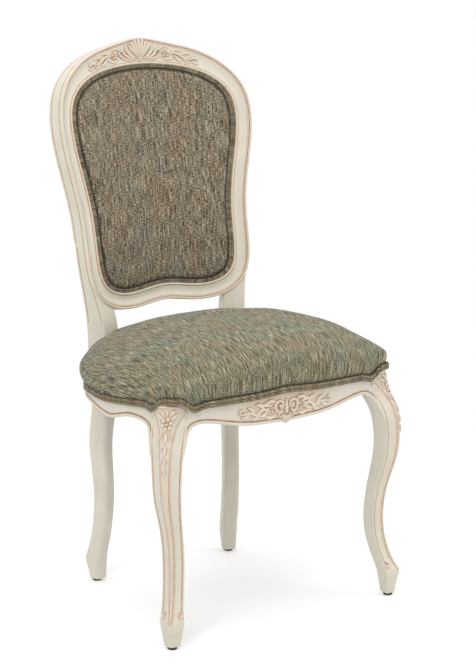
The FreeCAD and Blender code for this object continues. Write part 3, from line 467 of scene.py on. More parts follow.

# %% [markdown]
# ## The camera
# The photograph was taken from the front left, a little above the seat, with a long lens. A camera
# could be aimed by eye, but its three directions were worked out from marks on the photograph, so they
# are written as a turn.

# %% Camera
RIGHT = (0.8144, -0.5804, 0.0)
UPWARD = (0.1178, 0.1653, 0.9792)
AHEAD = (0.5683, 0.7974, -0.2030)
STANDPOINT = (-2.0350, -2.8805, 1.2270)
LENS_MM = 112.06
SHIFT = (0.0333, -0.0290)
eye = bpy.data.objects.new("photo_camera", bpy.data.cameras.new("photo_camera"))
scene.collection.objects.link(eye)
turn = Matrix((RIGHT, UPWARD, tuple(-v for v in AHEAD))).transposed().to_4x4()
eye.matrix_world = Matrix.Translation(STANDPOINT) @ turn
eye.data.sensor_width = 36.0
eye.data.lens = LENS_MM
eye.data.shift_x, eye.data.shift_y = SHIFT
eye.data.clip_end = 60.0
scene.camera = eye
print("camera at", [round(v, 3) for v in eye.matrix_world.translation])

# %% [markdown]
# ## Carving
# Real carving is cut down into the wood, and the brown glaze settles round each leaf. It could be
# sculpted or pressed in as a displacement, but then it would be soft at this size. So every leaf, rib
# and curl is a rounded ridge along a given line on the surface that it belongs to, with most
# glaze at its foot. A button is a small dome. Both ask a "place" for points in space.

# %% Ridges
def ridge(stock, place, points, width, height, taper=(0.25, 1.0, 0.15), count=14, side=1, sink=0.8):
    """A leaf or curl: a rounded ridge along a line, width and height following the taper."""
    path = along(points, count)
    way = np.gradient(path, axis=0)
    way /= np.linalg.norm(way, axis=1)[:, None]
    square = np.stack([-way[:, 1], way[:, 0]], axis=1)
    share = np.linspace(0, 1, count)
    size = through(np.linspace(0, 1, len(taper)), taper, share)
    across = np.linspace(-1, 1, 9)
    spread = size[:, None] * width / 2 * across[None, :]
    u = path[:, :1] + square[:, :1] * spread
    v = path[:, 1:] + square[:, 1:] * spread
    crown = np.sqrt(np.clip(1 - across**2, 0, 1))[None, :]
    lift = height * np.sqrt(size)[:, None] * crown - sink * (1 - crown)
    glaze_and_shade = 0.14 + 0.6 * np.abs(across)[None, :] ** 3 + 0 * lift
    lay_grid(stock, place(u, v, lift), glaze_and_shade, side=side)


def flat_place(u, v, lift):
    """A level board, for trials."""
    return np.stack(np.broadcast_arrays(u, v, lift), axis=-1)


trial = new_stock()
ridge(trial, flat_place, ((0, 0), (5, 2), (10, 0)), 4.0, 2.0)
print("points in one leaf:", trial["count"])

# %% Buttons, flowers and curls
def mirrored(points, mark):
    """The same line on the right (1) or on the left (-1) of the middle."""
    return tuple((mark * u, v) for u, v in points)


def button(stock, place, middle, radius, height, side=1, stretch=1.0, angle=0.0):
    """A small dome, such as a flower's eye or a petal."""
    reach = np.linspace(1, 0, 6)[:, None]
    turn = np.linspace(0, 2 * math.pi, 13)[None, :-1]
    x = reach * radius * np.cos(turn)
    y = reach * radius * stretch * np.sin(turn)
    u = middle[0] + x * math.cos(angle) - y * math.sin(angle)
    v = middle[1] + x * math.sin(angle) + y * math.cos(angle)
    lift = height * np.sqrt(np.clip(1 - reach**2, 0, 1)) - 0.7 * reach**4 + 0 * turn
    lay_grid(stock, place(u, v, lift), 0.12 + 0.6 * reach**3 + 0 * turn, loop=True, side=side)


def flower(stock, place, middle, radius, height, petals=6, side=1):
    """A small open flower: petals round an eye."""
    for step in range(petals):
        angle = 2 * math.pi * (step + 0.25) / petals
        reach = 0.62 * radius
        spot = (middle[0] + reach * math.cos(angle), middle[1] + reach * math.sin(angle))
        button(stock, place, spot, radius * 0.42, height, side, 0.78, angle)
    button(stock, place, middle, radius * 0.27, height * 1.25, side)


def curl(stock, place, middle, radius, start, sweep, width, height, side=1):
    """A volute: a ridge on a spiral that winds in to an eye."""
    share = np.linspace(0, 1, 9)
    angle = math.radians(start) + math.radians(sweep) * share
    reach = radius * (1 - 0.72 * share)
    points = np.stack([middle[0] + reach * np.cos(angle), middle[1] + reach * np.sin(angle)], axis=1)
    ridge(stock, place, points, width, height, (0.6, 1.0, 1.0, 0.8), 26, side)
    button(stock, place, middle, radius * 0.3, height * 1.2, side)


trial = new_stock()
flower(trial, flat_place, (0, 0), 8.0, 3.0)
print("points in one flower:", trial["count"])

# %% [markdown]
# ## Front legs
# Each leg is a cabriole, sawn from a thick plank on two faces and then carved. Its outer corner swings
# out at the knee and back at the ankle. A bead runs down both edges of the show faces and ends in a
# small volute over the toe, and two lines keep the carved ridge on the corner. A subdivided cage would
# soften such lines, so the leg is a loft of fine sections, and each face works out its own depth.

# %% Leg sections
FOOT = (230.0, -225.0)
TOE = 46.0
TOE_ROUND = (5.0, 12.0)
SOLE = 5.6
SOLE_SIDE = 20.0
KNEE_LOW = 370.0
KNEE_HIGH = 409.0
# Height, distance inside the foot, distance behind it, and side of the square section
LEG = np.array(
    [
        (46.0, 0.0, 0.0, 30.5),
        (58.5, 4.3, 5.2, 27.8),
        (79.3, 10.1, 12.0, 26.15),
        (113.6, 16.2, 19.4, 26.3),
        (150.0, 17.5, 21.5, 26.8),
        (201.2, 11.0, 18.9, 28.5),
        (250.8, 0.5, 12.6, 33.5),
        (305.0, -1.5, 11.0, 37.0),
        (342.8, 4.5, 17.8, 40.6),
        (372.2, 15.6, 28.6, 42.5),
        (410.0, 18.0, 31.5, 42.5),
    ]
)
# Height and radius of the rounded outer corner
CORNER = np.array(
    ((3, 6.5), (30, 6), (43, 3.0), (46, 1.8), (60, 2.0), (110, 3.5))
    + ((200, 5), (260, 7.5), (305, 10), (345, 14), (410, 17))
)
# Height and half width of the carved ridge
FIELD = np.array(
    ((44, 1.5), (60, 4), (120, 4.6), (200, 6), (250, 8), (305, 10))
    + ((340, 13), (366, 18), (380, 26), (392, 36), (410, 44))
)
print("leg from", SOLE, "to", KNEE_HIGH, "mm in", len(LEG), "sections")

# %% Points on a leg
def rounded(line, z, middle, reach, spread):
    """A line averaged over a small reach near one height, which rounds its corner there."""
    near = reach * line_at(z - middle, spread)
    shifts = np.linspace(-1, 1, 7)
    return sum(line(z + shift * near) for shift in shifts) / len(shifts)


def leg_line(z):
    """Distance in, distance back and side of the leg's section, with a sharp toe."""
    upper = through(LEG[:, 0], LEG[:, 1:], np.maximum(z, TOE))
    share = np.clip((z - SOLE) / (TOE - SOLE), 0, 1)
    lower = np.stack([0 * share, 0 * share, SOLE_SIDE + (LEG[0, 3] - SOLE_SIDE) * share], axis=-1)
    return np.where((z < TOE)[..., None], lower, upper)


def leg_at(z):
    """Middle and side of the leg's section at a height, rounded over the toe."""
    z = np.asarray(z, float)
    section = rounded(leg_line, z, TOE, *TOE_ROUND)
    x = FOOT[0] - section[..., 0] - ease((z - KNEE_LOW) / 30)
    return x, FOOT[1] + section[..., 1], section[..., 2]


def leg_point(z, a, lift):
    """A point on the two show faces: a runs from the outer corner, + over the front, - over the side."""
    z, a, lift = np.broadcast_arrays(np.asarray(z, float), np.asarray(a, float), np.asarray(lift, float))
    x0, y0, side = leg_at(z)
    half = side / 2
    bend = np.interp(z, CORNER[:, 0], CORNER[:, 1])
    reach = np.abs(a)
    angle = np.radians(45) * np.clip(1 - reach / bend, 0, 1)
    along_face = np.maximum(reach, bend) - bend
    nx = np.where(a > 0, np.sin(angle), np.cos(angle))
    ny = np.where(a > 0, -np.cos(angle), -np.sin(angle))
    x = x0 + half - bend - np.where(a > 0, along_face, 0) + nx * (bend + lift)
    y = y0 - half + bend + np.where(a > 0, 0, along_face) + ny * (bend + lift)
    return np.stack([x, y, z], axis=-1)


print("side of the leg at the ankle:", round(float(leg_at([113.6])[2][0]), 1), "mm")

# %% [markdown]
# ## Outline of the seat
# Seen from above, the seat has a bowed front, rounded knees and swelling sides that turn in to the
# posts. An upholsterer cuts the cover to the same line. A traced curve could give it, but four arcs do,
# as on a paper pattern. The legs, the rails, the welt and the cushion all read it and so stay together.

# %% Seat pattern
FACE_X = 225.75
FACE_Y = -217.75
FRONT_BOW = 8.5
POST = (138.0, 120.46)
POST_GAP = 5.5
SIDE_BOW = (237.75, -55.95)
SIDE_TURN = (218.3, 49.9)
REAR_BEND = (191.0, 89.5)
TILT = math.tan(math.radians(3.4))
COVER_EDGE = 389.0
COVER_EDGE_AT = -100.0


def seat_marks(grow):
    """Right half of the outline, moved outwards by a distance."""
    rear = POST[1] + POST_GAP
    round_off = max(10.0 + grow, 6.0)
    bend = round_off * (1 - math.sqrt(0.5))
    return {
        "middle": (0.0, FACE_Y - FRONT_BOW - grow),
        "front": (FACE_X + grow - round_off, FACE_Y - grow),
        "corner": (FACE_X + grow - bend, FACE_Y - grow + bend),
        "side": (FACE_X + grow, FACE_Y - grow + round_off),
        "bow": (SIDE_BOW[0] + grow, SIDE_BOW[1]),
        "turn": (SIDE_TURN[0] + grow * 0.93, SIDE_TURN[1] + grow * 0.35),
        "rear_bend": (REAR_BEND[0] + 0.7 * grow, REAR_BEND[1] + 0.7 * grow),
        "rear": (POST[0] + 12 + grow * 0.5, rear + grow),
    }


def seat_half(grow):
    """Outline from the middle of the front to the right post."""
    m = seat_marks(grow)
    left = (-m["front"][0], m["front"][1])
    front = arc3(left, m["middle"], m["front"], 121)[60:]
    runs = [front]
    for first, second, third, count in (
        ("front", "corner", "side", 31),
        ("side", "bow", "turn", 91),
        ("turn", "rear_bend", "rear", 41),
    ):
        runs.append(arc3(m[first], m[second], m[third], count)[1:])
    return np.vstack(runs)


def edge_height(y):
    """Lower edge of the cover, falling to the rear."""
    return COVER_EDGE - TILT * (y - COVER_EDGE_AT)


print("points on half of the outline:", len(seat_half(0.0)))

# %% Lower line of the welt
ARCH_RISE, ARCH_HALF = 12.0, 26.0
DIP, DIP_AT, DIP_HALF = 5.0, 39.0, 12.0
MIDDLE_RISE, MIDDLE_HALF = 4.0, 40.0
REAR_FALL = 16.5


def welt_low(x, y):
    """Lower line of the seat's welt: it dips at both sides of a knee and arches over it."""
    away = np.hypot(np.abs(x) - FACE_X + 4, y - FACE_Y - 4)
    arch = ARCH_RISE * np.exp(-((away / ARCH_HALF) ** 3)) - DIP * line_at(away - DIP_AT, DIP_HALF)
    middle = np.where(y < -172, MIDDLE_RISE * line_at(x, MIDDLE_HALF), 0)
    return edge_height(FACE_Y) - REAR_FALL * ease((y - FACE_Y - 25) / 190) + arch + middle


print("welt over a knee:", welt_low(FACE_X, FACE_Y).round(1), "mm high")

# %% Mouldings of the leg
def leg_face(z, reach, side):
    """Depth and glaze of a show face, reach mm from the corner: a bead, its groove, a cove, two lines."""
    edge = side - reach
    fade = np.clip((z - 52) / 10, 0, 1) * np.clip((376 - z) / 16, 0, 1)
    field = np.interp(z, FIELD[:, 0], FIELD[:, 1])
    field_fade = np.clip((z - 43) / 5, 0, 1)
    bead = 0.7 * hump(edge - 2.2, 2.4) * fade
    first = line_at(edge - 4.9, 1.05) * fade
    cove_room = np.clip((reach - field - 3) / np.maximum(side - field - 8.5, 1), 0, 1)
    cove = 1.1 * np.sin(math.pi * cove_room) * fade
    second = line_at(reach - field, 1.0) * field_fade
    third = line_at(reach - field - 3.0, 0.9) * field_fade * 0.8
    depth = bead - 0.9 * first - cove - 0.8 * second - 0.6 * third
    glaze_and_shade = np.maximum.reduce([first, second, third]) * 0.85
    blush = (0.1 + 0.14 * np.clip(1 - reach / (field + 1), 0, 1)) * field_fade
    return depth, np.maximum(glaze_and_shade, blush)


print("deepest cut at the ankle:", leg_face(150.0, np.linspace(0, 26, 99), 26.8)[0].min().round(2), "mm")

# %% Carving of the knee and the toe
VOLUTE = (21.5, 57.0)
HUSK_TOP = 365
HUSK_STEP = 19
KNEE_ARCH = ((40, 382), (35, 392), (26, 400), (13, 403.5))
# Root, bend and tip of each leaf beside the knee's flower, with its width and height
KNEE_LEAVES = (
    (((3, 388), (10, 395), (19, 398)), 7.5, 3.2),
    (((6, 384), (15, 388), (27, 392)), 7.0, 3.0),
    (((8, 373), (15, 377), (19, 384)), 6.0, 2.8),
    (((6, 367), (11, 362), (12, 353)), 5.5, 2.6),
)


def on_leg(u, v, lift):
    """A place for carving on the leg: u runs round its corner, v is the height."""
    return leg_point(v, u, lift)


def carve_leg(stock, side):
    """A volute on both faces over the toe, then the knee's arch, leaves, flower and falling husks."""
    for mark in (-1, 1):
        spot = (mark * VOLUTE[0], VOLUTE[1])
        curl(stock, on_leg, spot, 6.6, 90, mark * 330, 3.0, 2.4, side)
        button(stock, on_leg, spot, 4.4, 3.6, side)
    arch = mirrored(KNEE_ARCH, -1) + ((0, 404.5),) + KNEE_ARCH[::-1]
    ridge(stock, on_leg, arch, 5.0, 2.4, (0.7, 1, 1, 1, 0.7), 40, side)
    for mark in (-1, 1):
        for points, width, height in KNEE_LEAVES:
            ridge(stock, on_leg, mirrored(points, mark), width, height, side=side)
    ridge(stock, on_leg, ((0, 388), (0, 394), (0, 401)), 8, 3.4, side=side)
    flower(stock, on_leg, (0, 377), 12.5, 4.0, 6, side)
    for step in range(4):
        level = HUSK_TOP - step * HUSK_STEP
        size = 1 - 0.1 * step
        husk = ((0, level), (0, level - 10 * size), (0, level - HUSK_STEP * size))
        ridge(stock, on_leg, husk, 9.5 * size, 3.4 * size, (0.4, 1.0, 0.15), 14, side)
        for mark in (-1, 1):
            leaf = ((2, level - 1), (6.4 * size, level - 5), (6.0 * size, level - 14 * size))
            ridge(stock, on_leg, mirrored(leaf, mark), 3.8 * size, 2.3 * size, (0.5, 1.0, 0.2), 10, side)


trial = new_stock()
carve_leg(trial, 1)
print("points in one leg's carving:", trial["count"])

# %% Make the front legs
def front_leg(name, side):
    """One leg: its top is stretched to end under the welt, and its two hidden faces are plain."""
    stock = new_stock()
    rows = np.concatenate([np.linspace(SOLE, TOE, 18), np.linspace(TOE + 1, KNEE_HIGH, 190)])
    share = np.linspace(-1, 1, 121)
    z = rows[:, None] + 0 * share[None, :]
    x0, y0, width = leg_at(z)
    a = share[None, :] * (width - 1.2)
    first = leg_point(z, a, 0)
    top = welt_low(first[..., 0], first[..., 1]) + 1.0
    z = np.where(z > KNEE_LOW, KNEE_LOW + (z - KNEE_LOW) * (top - KNEE_LOW) / (KNEE_HIGH - KNEE_LOW), z)
    depth, glaze_and_shade = leg_face(z, np.abs(a), width)
    show = leg_point(z, a, depth)
    half = width[:, :1] / 2
    x0, y0, level = x0[:, :1], y0[:, :1], z[:, -1:]
    hidden = []
    for sx, sy in ((-1, -0.9), (-1, 0.9), (-0.9, 1), (0.9, 1)):
        hidden.append(np.concatenate([x0 + sx * half, y0 + sy * half, level], axis=1)[:, None, :])
    loop = np.concatenate([show] + hidden, axis=1)
    loop_glaze = np.concatenate([glaze_and_shade, np.zeros((len(rows), len(hidden)))], axis=1)
    lay_grid(stock, loop, loop_glaze, loop=True, ends=True, side=side)
    carve_leg(stock, side)
    fit_out(make_piece(name, stock, paint), "painted_wood", name)


front_leg("front_leg_left", -1)
front_leg("front_leg_right", 1)

# %% [markdown]
# ## Seat rails
# The rails are sawn to a scalloped lower edge with a bead and a groove cut along it, and the front one
# carries a pair of scrolls with leaves. A boolean could cut the scallops, but the bead would not follow
# them. So a section is swept along the lower edge itself, which is drawn on the bowed face, and the
# bead keeps its width all the way into the leg.

# %% Section of a rail
RAIL_TOP = 403.0
TOP_REACH = 191.0
TOP_STEPS = 12
FLOW = 34.0
KNEE_TOP = 405.0
RAIL_SINK = 0.9
# Distance ahead of the face, and distance up from the lower edge
RAIL = np.array(
    [
        (-20.0, 2.5),
        (-4.0, 0.2),
        (-1.0, 0.0),
        (0.9, 0.5),
        (1.9, 1.7),
        (2.2, 3.0),
        (1.9, 4.3),
        (0.9, 5.3),
        (-0.5, 6.0),
        (-0.7, 6.6),
        (-0.3, 7.4),
        (0.3, 8.4),
    ]
)
RAIL_GLAZE = np.array([0, 0.05, 0.1, 0.1, 0.06, 0.05, 0.08, 0.3, 0.95, 1.0, 0.55, 0.12])


def sweep_rail(stock, edge, place, tint, tops, side=1):
    """Lays the rail's section along its lower edge, which is drawn on the face as (run, height)."""
    way = np.gradient(edge, axis=0)
    way /= np.linalg.norm(way, axis=1)[:, None]
    inward = np.stack([-way[:, 1], way[:, 0]], axis=1)
    up = np.linspace(0, 1, TOP_STEPS)[1:]
    rows, glazes = [], []
    for (run, low), (nu, nv), blush, top in zip(edge, inward, tint, tops):
        u = run + nu * RAIL[:, 1]
        v = low + nv * RAIL[:, 1]
        top_u = np.clip(run, -TOP_REACH, TOP_REACH)
        u = np.concatenate([u, u[-1] + up * (top_u - u[-1]), [top_u]])
        v = np.concatenate([v, v[-1] + up * (top - v[-1]), [top]])
        lift = np.concatenate([RAIL[:, 0], 0.3 - 0.8 * np.sin(up * math.pi), RAIL[:1, 0]])
        rows.append(place(u, v, lift))
        glazes.append(np.concatenate([RAIL_GLAZE, blush + 0 * up, [0]]))
    lay_grid(stock, np.array(rows), np.array(glazes), loop=True, ends=True, side=side)


print("points in a rail's section:", len(RAIL) + TOP_STEPS)

# %% Front rail
FRONT_HALF = 203.75
FRONT_FLOW = 168.0
# Distance from the middle, and height of the lower edge
FRONT_LOW = (
    (0, 350.5),
    (35, 351.4),
    (75, 353.5),
    (107, 358.5),
    (141, 366),
    (160, 369.2),
    (175, 369),
    (186, 364.5),
    (194, 356.5),
    (200, 346),
    (205.5, 334),
    (210, 322),
)


def front_face(x):
    """How far ahead the front rail's face stands."""
    return FACE_Y - FRONT_BOW * (1 - (np.asarray(x) / FRONT_HALF) ** 2)


def on_front_rail(u, v, lift):
    """A point on the front rail, whose face flows out to the legs at both ends."""
    u, v, lift = np.broadcast_arrays(np.asarray(u, float), np.asarray(v, float), np.asarray(lift, float))
    _, y0, side = leg_at(np.minimum(v, KNEE_TOP))
    share = ease((np.abs(u) - FRONT_FLOW) / FLOW)
    y = front_face(u) * (1 - share) + (y0 - side / 2 + RAIL_SINK) * share
    return np.stack([u, y - lift, v], axis=-1)


stock = new_stock()
edge = along(mirrored(FRONT_LOW[:0:-1], -1) + FRONT_LOW, 281)
tint = 0.08 + 0.2 * np.exp(-((edge[:, 0] / 92) ** 6))
sweep_rail(stock, edge, on_front_rail, tint, RAIL_TOP + 0 * tint)
print("front rail: lower edge from", edge[:, 1].min().round(1), "to", edge[:, 1].max().round(1), "mm high")

# %% Carve the front rail
# Middle, radius, start, sweep, width and height of each scroll
RAIL_SCROLLS = (
    ((13, 379), 12.5, 250, 400, 6.0, 4.2),
    ((9.5, 363), 7.5, 110, -330, 4.4, 3.6),
    ((90, 379), 7.0, 190, 330, 4.6, 3.2),
)
RAIL_STEM = ((36, 372), (48, 377), (62, 370), (76, 375), (86, 373))
RAIL_LEAVES = (
    ((22, 387), (32, 389), (44, 385)),
    ((24, 364), (34, 361), (45, 365)),
    ((47, 377), (53, 385), (63, 387)),
    ((55, 372), (62, 364), (72, 363)),
    ((65, 371), (71, 380), (79, 384)),
    ((75, 374), (83, 368), (92, 369)),
    ((40, 373), (47, 367), (56, 367)),
    ((34, 381), (43, 384), (52, 382)),
)
for mark in (-1, 1):
    for (u, v), radius, start, sweep, width, height in RAIL_SCROLLS:
        first = start if mark > 0 else 180 - start
        curl(stock, on_front_rail, (mark * u, v), radius, first, mark * sweep, width, height)
    flower(stock, on_front_rail, (mark * 33, 376), 8.0, 3.6, 5)
    ridge(stock, on_front_rail, mirrored(RAIL_STEM, mark), 7.0, 3.2, (0.8, 1.0, 0.9, 0.7), 30)
    for leaf in RAIL_LEAVES:
        ridge(stock, on_front_rail, mirrored(leaf, mark), 9.0, 3.6, (0.4, 1.0, 0.3), 12)
ridge(stock, on_front_rail, ((0, 390), (0, 377), (0, 366)), 8, 4.4, (0.3, 1.0, 0.7))
for mark in (-1, 0, 1):
    pendant = ((mark * 2.5, 362), (mark * 5.5, 355), (mark * 4, 348 + 2 * abs(mark)))
    ridge(stock, on_front_rail, pendant, 7.0, 4.4, (0.6, 1.0, 0.45))
fit_out(make_piece("front_seat_rail", stock, paint), "painted_wood", "front_seat_rail")

# %% Side rails
# Distance to the rear, and height of the lower edge
SIDE_LOW = (
    (-191, 322),
    (-187, 333),
    (-181, 345),
    (-173, 356),
    (-163, 364.5),
    (-150, 369.5),
    (-134, 371.3),
    (-107, 369),
    (-75, 360.5),
    (-56, 356.6),
    (-34, 356.8),
    (-11, 359),
    (14, 362.6),
    (55, 367),
    (117, 371.5),
)
SIDE_FLOW = -148.0
SIDE_FRONT, SIDE_REAR = -196.0, 121.0
SIDE_FALL = 17.0
side_line = seat_half(0.0)
inside = (side_line[:, 1] > SIDE_FRONT) & (side_line[:, 1] < SIDE_REAR) & (side_line[:, 0] > 100)
side_line = side_line[inside]
side_way = np.gradient(side_line, axis=0)
side_way /= np.linalg.norm(side_way, axis=1)[:, None]


def on_side_rail(u, v, lift):
    """A point on the right rail: u runs to the rear, and the front end flows out to the leg."""
    u, v, lift = np.broadcast_arrays(np.asarray(u, float), np.asarray(v, float), np.asarray(lift, float))
    u = np.clip(u, SIDE_FRONT + 1, SIDE_REAR - 1)
    x0, _, side = leg_at(np.minimum(v, KNEE_TOP))
    nx = np.interp(u, side_line[:, 1], side_way[:, 1])
    ny = np.interp(u, side_line[:, 1], -side_way[:, 0])
    share = ease((SIDE_FLOW - u) / FLOW)
    face = np.interp(u, side_line[:, 1], side_line[:, 0])
    x = face * (1 - share) + (x0 + side / 2 - RAIL_SINK) * share
    return np.stack([x + nx * lift, u + ny * lift * (1 - share), v], axis=-1)


for name, mark in (("side_seat_rail_left", -1), ("side_seat_rail_right", 1)):
    stock = new_stock()
    edge = along(SIDE_LOW, 181)
    side_tops = RAIL_TOP - SIDE_FALL * ease((edge[:, 0] + 150) / 200)
    sweep_rail(stock, edge, on_side_rail, 0.06 + 0 * edge[:, 0], side_tops, mark)
    fit_out(make_piece(name, stock, paint), "painted_wood", name)

# %% [markdown]
# ## The back frame
# The frame of the back is one moulded ring in the shape of a cartouche, hollowed in plan to fit the
# sitter. A bevelled curve would twist on such a hollow, so the ring is built from its pad line
# outwards: a bead by the pad, a broad cove, a groove and an outer bead. It is cut into crest, stiles
# and lower rail where the real joints are.

# %% Lines of the back
RAKE = math.radians(10.8)
HOLLOW = 500.0
ZERO = (142.5, 580.0)
STILE = 28.0
FRAME_DEPTH = 27.0
THIN_DEPTH = 8.0
# Distance from the middle, and distance up the rake
PAD_HALF = (
    (0, 340),
    (70, 333),
    (128, 313),
    (165, 277),
    (172, 220),
    (159, 148),
    (147, 72),
    (145, 4),
    (131, -44),
    (98, -59),
    (52, -58),
    (0, -52),
)
RING = 660
pad = along(PAD_HALF + mirrored(PAD_HALF[-2:0:-1], -1), RING, True)
pad_way = np.roll(pad, -1, axis=0) - np.roll(pad, 1, axis=0)
pad_way /= np.linalg.norm(pad_way, axis=1)[:, None]
pad_out = np.stack([-pad_way[:, 1], pad_way[:, 0]], axis=1)
pad_out *= np.sign(np.sum(pad_out * (pad - pad.mean(axis=0)), axis=1).mean())
swell = 13 * np.clip(1 - (pad[:, 0] / 172) ** 2, 0, 1)
ring_width = STILE + np.where(pad[:, 1] > 220, swell, 0.0)
ring_width += np.clip((-20 - pad[:, 1]) / 20, 0, 1)
ring_width += np.where(pad[:, 1] > 300, 6.0 * np.exp(-((pad[:, 0] / 36) ** 2)), 0)
print("pad line", round(np.linalg.norm(np.diff(pad, axis=0), axis=1).sum()), "mm round")

# %% Moulding of the back
def back_point(x, v, depth):
    """A point of the hollow back: across, up the rake, and behind the frame's face."""
    turn = np.arcsin(np.clip(x / HOLLOW, -1, 1))
    reach = (HOLLOW + depth) * np.cos(turn) - HOLLOW
    y = ZERO[0] + v * math.sin(RAKE) + reach * math.cos(RAKE)
    z = ZERO[1] + v * math.cos(RAKE) - reach * math.sin(RAKE)
    return np.stack([(HOLLOW + depth) * np.sin(turn), y, z], axis=-1)


def ring_point(index, t, depth):
    """A point t mm outside the pad line at one of its marks."""
    spot = pad[index] + pad_out[index] * np.asarray(t)[..., None]
    return back_point(spot[..., 0], spot[..., 1], depth)


def frame_moulding(t, width):
    """Height and glaze of the moulding, t mm from the pad's side."""
    edge = width - t
    cove = np.clip((t - 4.8) / (width - 12.6), 0, 1)
    high = 1.7 * hump(t - 2.3, 2.0) + 1.9 * hump(edge - 2.2, 2.3) + 0.8 * hump(edge - 5.7, 1.2)
    high = high - 2.4 * np.sin(math.pi * cove) ** 0.8
    lines = np.maximum(line_at(t - 4.6, 0.95), line_at(edge - 4.5, 0.9))
    lines = np.maximum(lines, 0.65 * line_at(edge - 7.1, 0.8))
    blush = 0.06 + 0.14 * hump(edge - 2.2, 2.3) + 0.1 * hump(t - 2.3, 2.0)
    return high - 0.7 * lines, np.maximum(0.76 * lines, blush)


print("top of the pad line:", back_point(0.0, 340.0, 0.0).round(1).tolist())

# %% Sweep of the back
def ring_run(stock, marks, depth, side=1):
    """Sweeps the moulding over some marks; depth is how far back the ring reaches at each."""
    rows, glazes = [], []
    for mark, deep in zip(marks, depth):
        width = ring_width[mark]
        t = np.linspace(0.1, width - 0.15, 64)
        high, glaze_and_shade = frame_moulding(t, width)
        wall = np.linspace(0.06, 0.94, 26)
        wall_depth = 1.0 + wall * (deep - 1.0)
        cut = np.maximum(line_at(wall_depth - 5.2, 0.9), line_at(wall_depth - 21.5, 0.9))
        wall_t = width + 0.3 * np.sin(math.pi * wall) - 0.7 * cut
        rear_t = np.array([width - 2.2, width * 0.5, 1.0, -1.0, -1.0])
        rear_d = np.array([deep, deep + 0.3, deep, deep - 2.5, 4.0])
        loop_t = np.concatenate([t, wall_t, rear_t])
        loop_d = np.concatenate([-high, wall_depth, rear_d])
        rows.append(ring_point(mark, loop_t, loop_d))
        glazes.append(np.concatenate([glaze_and_shade, 0.05 + 0.8 * cut, 0.03 * np.ones(5)]))
    lay_grid(stock, np.array(rows), np.array(glazes), loop=True, ends=True, side=side)


def marks_between(first, last):
    """Marks on the pad line, which runs right from the middle of the crest."""
    return np.arange(first, last + 1) % RING


right = np.arange(RING // 2 + 1)
joint = int(right[pad[right, 1] >= 252][-1])
corner = int(right[pad[right, 1] >= -6][-1])
print("joints at marks", joint, "and", corner, "of", RING)

# %% [markdown]
# ## Crest
# The crest rail has a fan shell in the middle of its upper edge, with leaf scrolls, small flowers
# and tendrils on both sides. They could be laid on a flat pattern and bent, but they lie in the cove
# of the hollow ring, so their place is read from the ring itself.

# %% A place for carving on the crest
COVE_FLOOR = 1.2
pad_step = np.linalg.norm(pad[1] - pad[0])


def on_crest(u, t, lift):
    """u runs along the pad line from the middle of the crest, t away from the pad."""
    u, t, lift = np.broadcast_arrays(np.asarray(u, float), np.asarray(t, float), np.asarray(lift, float))
    place = u / pad_step
    low = np.floor(place).astype(int)
    share = (place - low)[..., None]
    spot = pad[low % RING] * (1 - share) + pad[(low + 1) % RING] * share
    away = pad_out[low % RING] * (1 - share) + pad_out[(low + 1) % RING] * share
    spot = spot + away * t[..., None]
    return back_point(spot[..., 0], spot[..., 1], COVE_FLOOR - lift)


print("one step of the ring:", pad_step.round(3), "mm")

# %% Crest with its shell
SHELL_HEART = 6.0
SHELL_ROOT = 11.0
SHELL_TIP = 46.8
SHELL_STEP = 11.5
# Line, width and height of each leaf and tendril
CREST_LEAVES = (
    (((5, 9), (14, 13), (24, 24), (27, 35)), 6.5, 3.8),
    (((9, 8), (19, 11), (30, 19), (36, 30)), 6.0, 3.6),
    (((14, 8), (25, 9), (36, 14), (44, 24)), 5.5, 3.4),
    (((34, 24), (42, 30), (50, 32), (57, 29)), 6.0, 3.0),
    (((44, 13), (54, 10), (62, 11), (68, 15)), 6.0, 3.0),
    (((56, 18), (66, 22), (78, 20), (90, 15), (102, 16)), 6.0, 2.8),
    (((62, 22), (69, 28), (79, 28)), 7.0, 2.8),
    (((69, 19), (75, 12), (85, 9.5)), 7.0, 2.8),
    (((80, 20), (87, 25), (96, 24)), 6.6, 2.7),
    (((86, 15), (93, 10), (101, 10)), 6.0, 2.6),
    (((97, 16), (105, 20), (111, 17)), 6.0, 2.6),
    (((101, 14), (108, 11), (114, 13)), 5.6, 2.6),
)
stock = new_stock()
crest_marks = marks_between(-joint, joint)
ring_run(stock, crest_marks, FRAME_DEPTH + 0 * crest_marks)
for step in range(-3, 4):
    angle = math.radians(SHELL_STEP * step)
    tip = SHELL_TIP - 1.3 * abs(step) ** 1.35
    reach = np.array([SHELL_ROOT, (SHELL_ROOT + tip) / 2, tip]) - SHELL_HEART
    rib = np.stack([math.sin(angle) * reach, SHELL_HEART + math.cos(angle) * reach], axis=1)
    ridge(stock, on_crest, rib, 7.4, 5.4 - 0.4 * abs(step), (0.2, 0.75, 1.0, 0.75), 18, sink=3.5)
button(stock, on_crest, (0, 9.0), 4.2, 3.4)
for mark in (-1, 1):
    for points, width, height in CREST_LEAVES:
        ridge(stock, on_crest, mirrored(points, mark), width, height)
    flower(stock, on_crest, (mark * 52, 20), 7.0, 3.2, 5)
    curl(stock, on_crest, (mark * 38, 21), 6.0, 200 if mark > 0 else -20, -mark * 340, 3.0, 3.0)
fit_out(make_piece("crest_rail", stock, paint), "painted_wood", "crest_rail")

# %% Lower rail
# It is thinner at both ends, where it is let into the posts
stock = new_stock()
low_marks = marks_between(corner, RING - corner)
low_depth = np.where(np.abs(pad[low_marks, 0]) < 126, FRAME_DEPTH, THIN_DEPTH)
for _ in range(12):
    low_depth = np.convolve(np.pad(low_depth, 1, mode="edge"), (0.25, 0.5, 0.25), mode="valid")
ring_run(stock, low_marks, low_depth)
fit_out(make_piece("lower_back_rail", stock, paint), "painted_wood", "lower_back_rail")

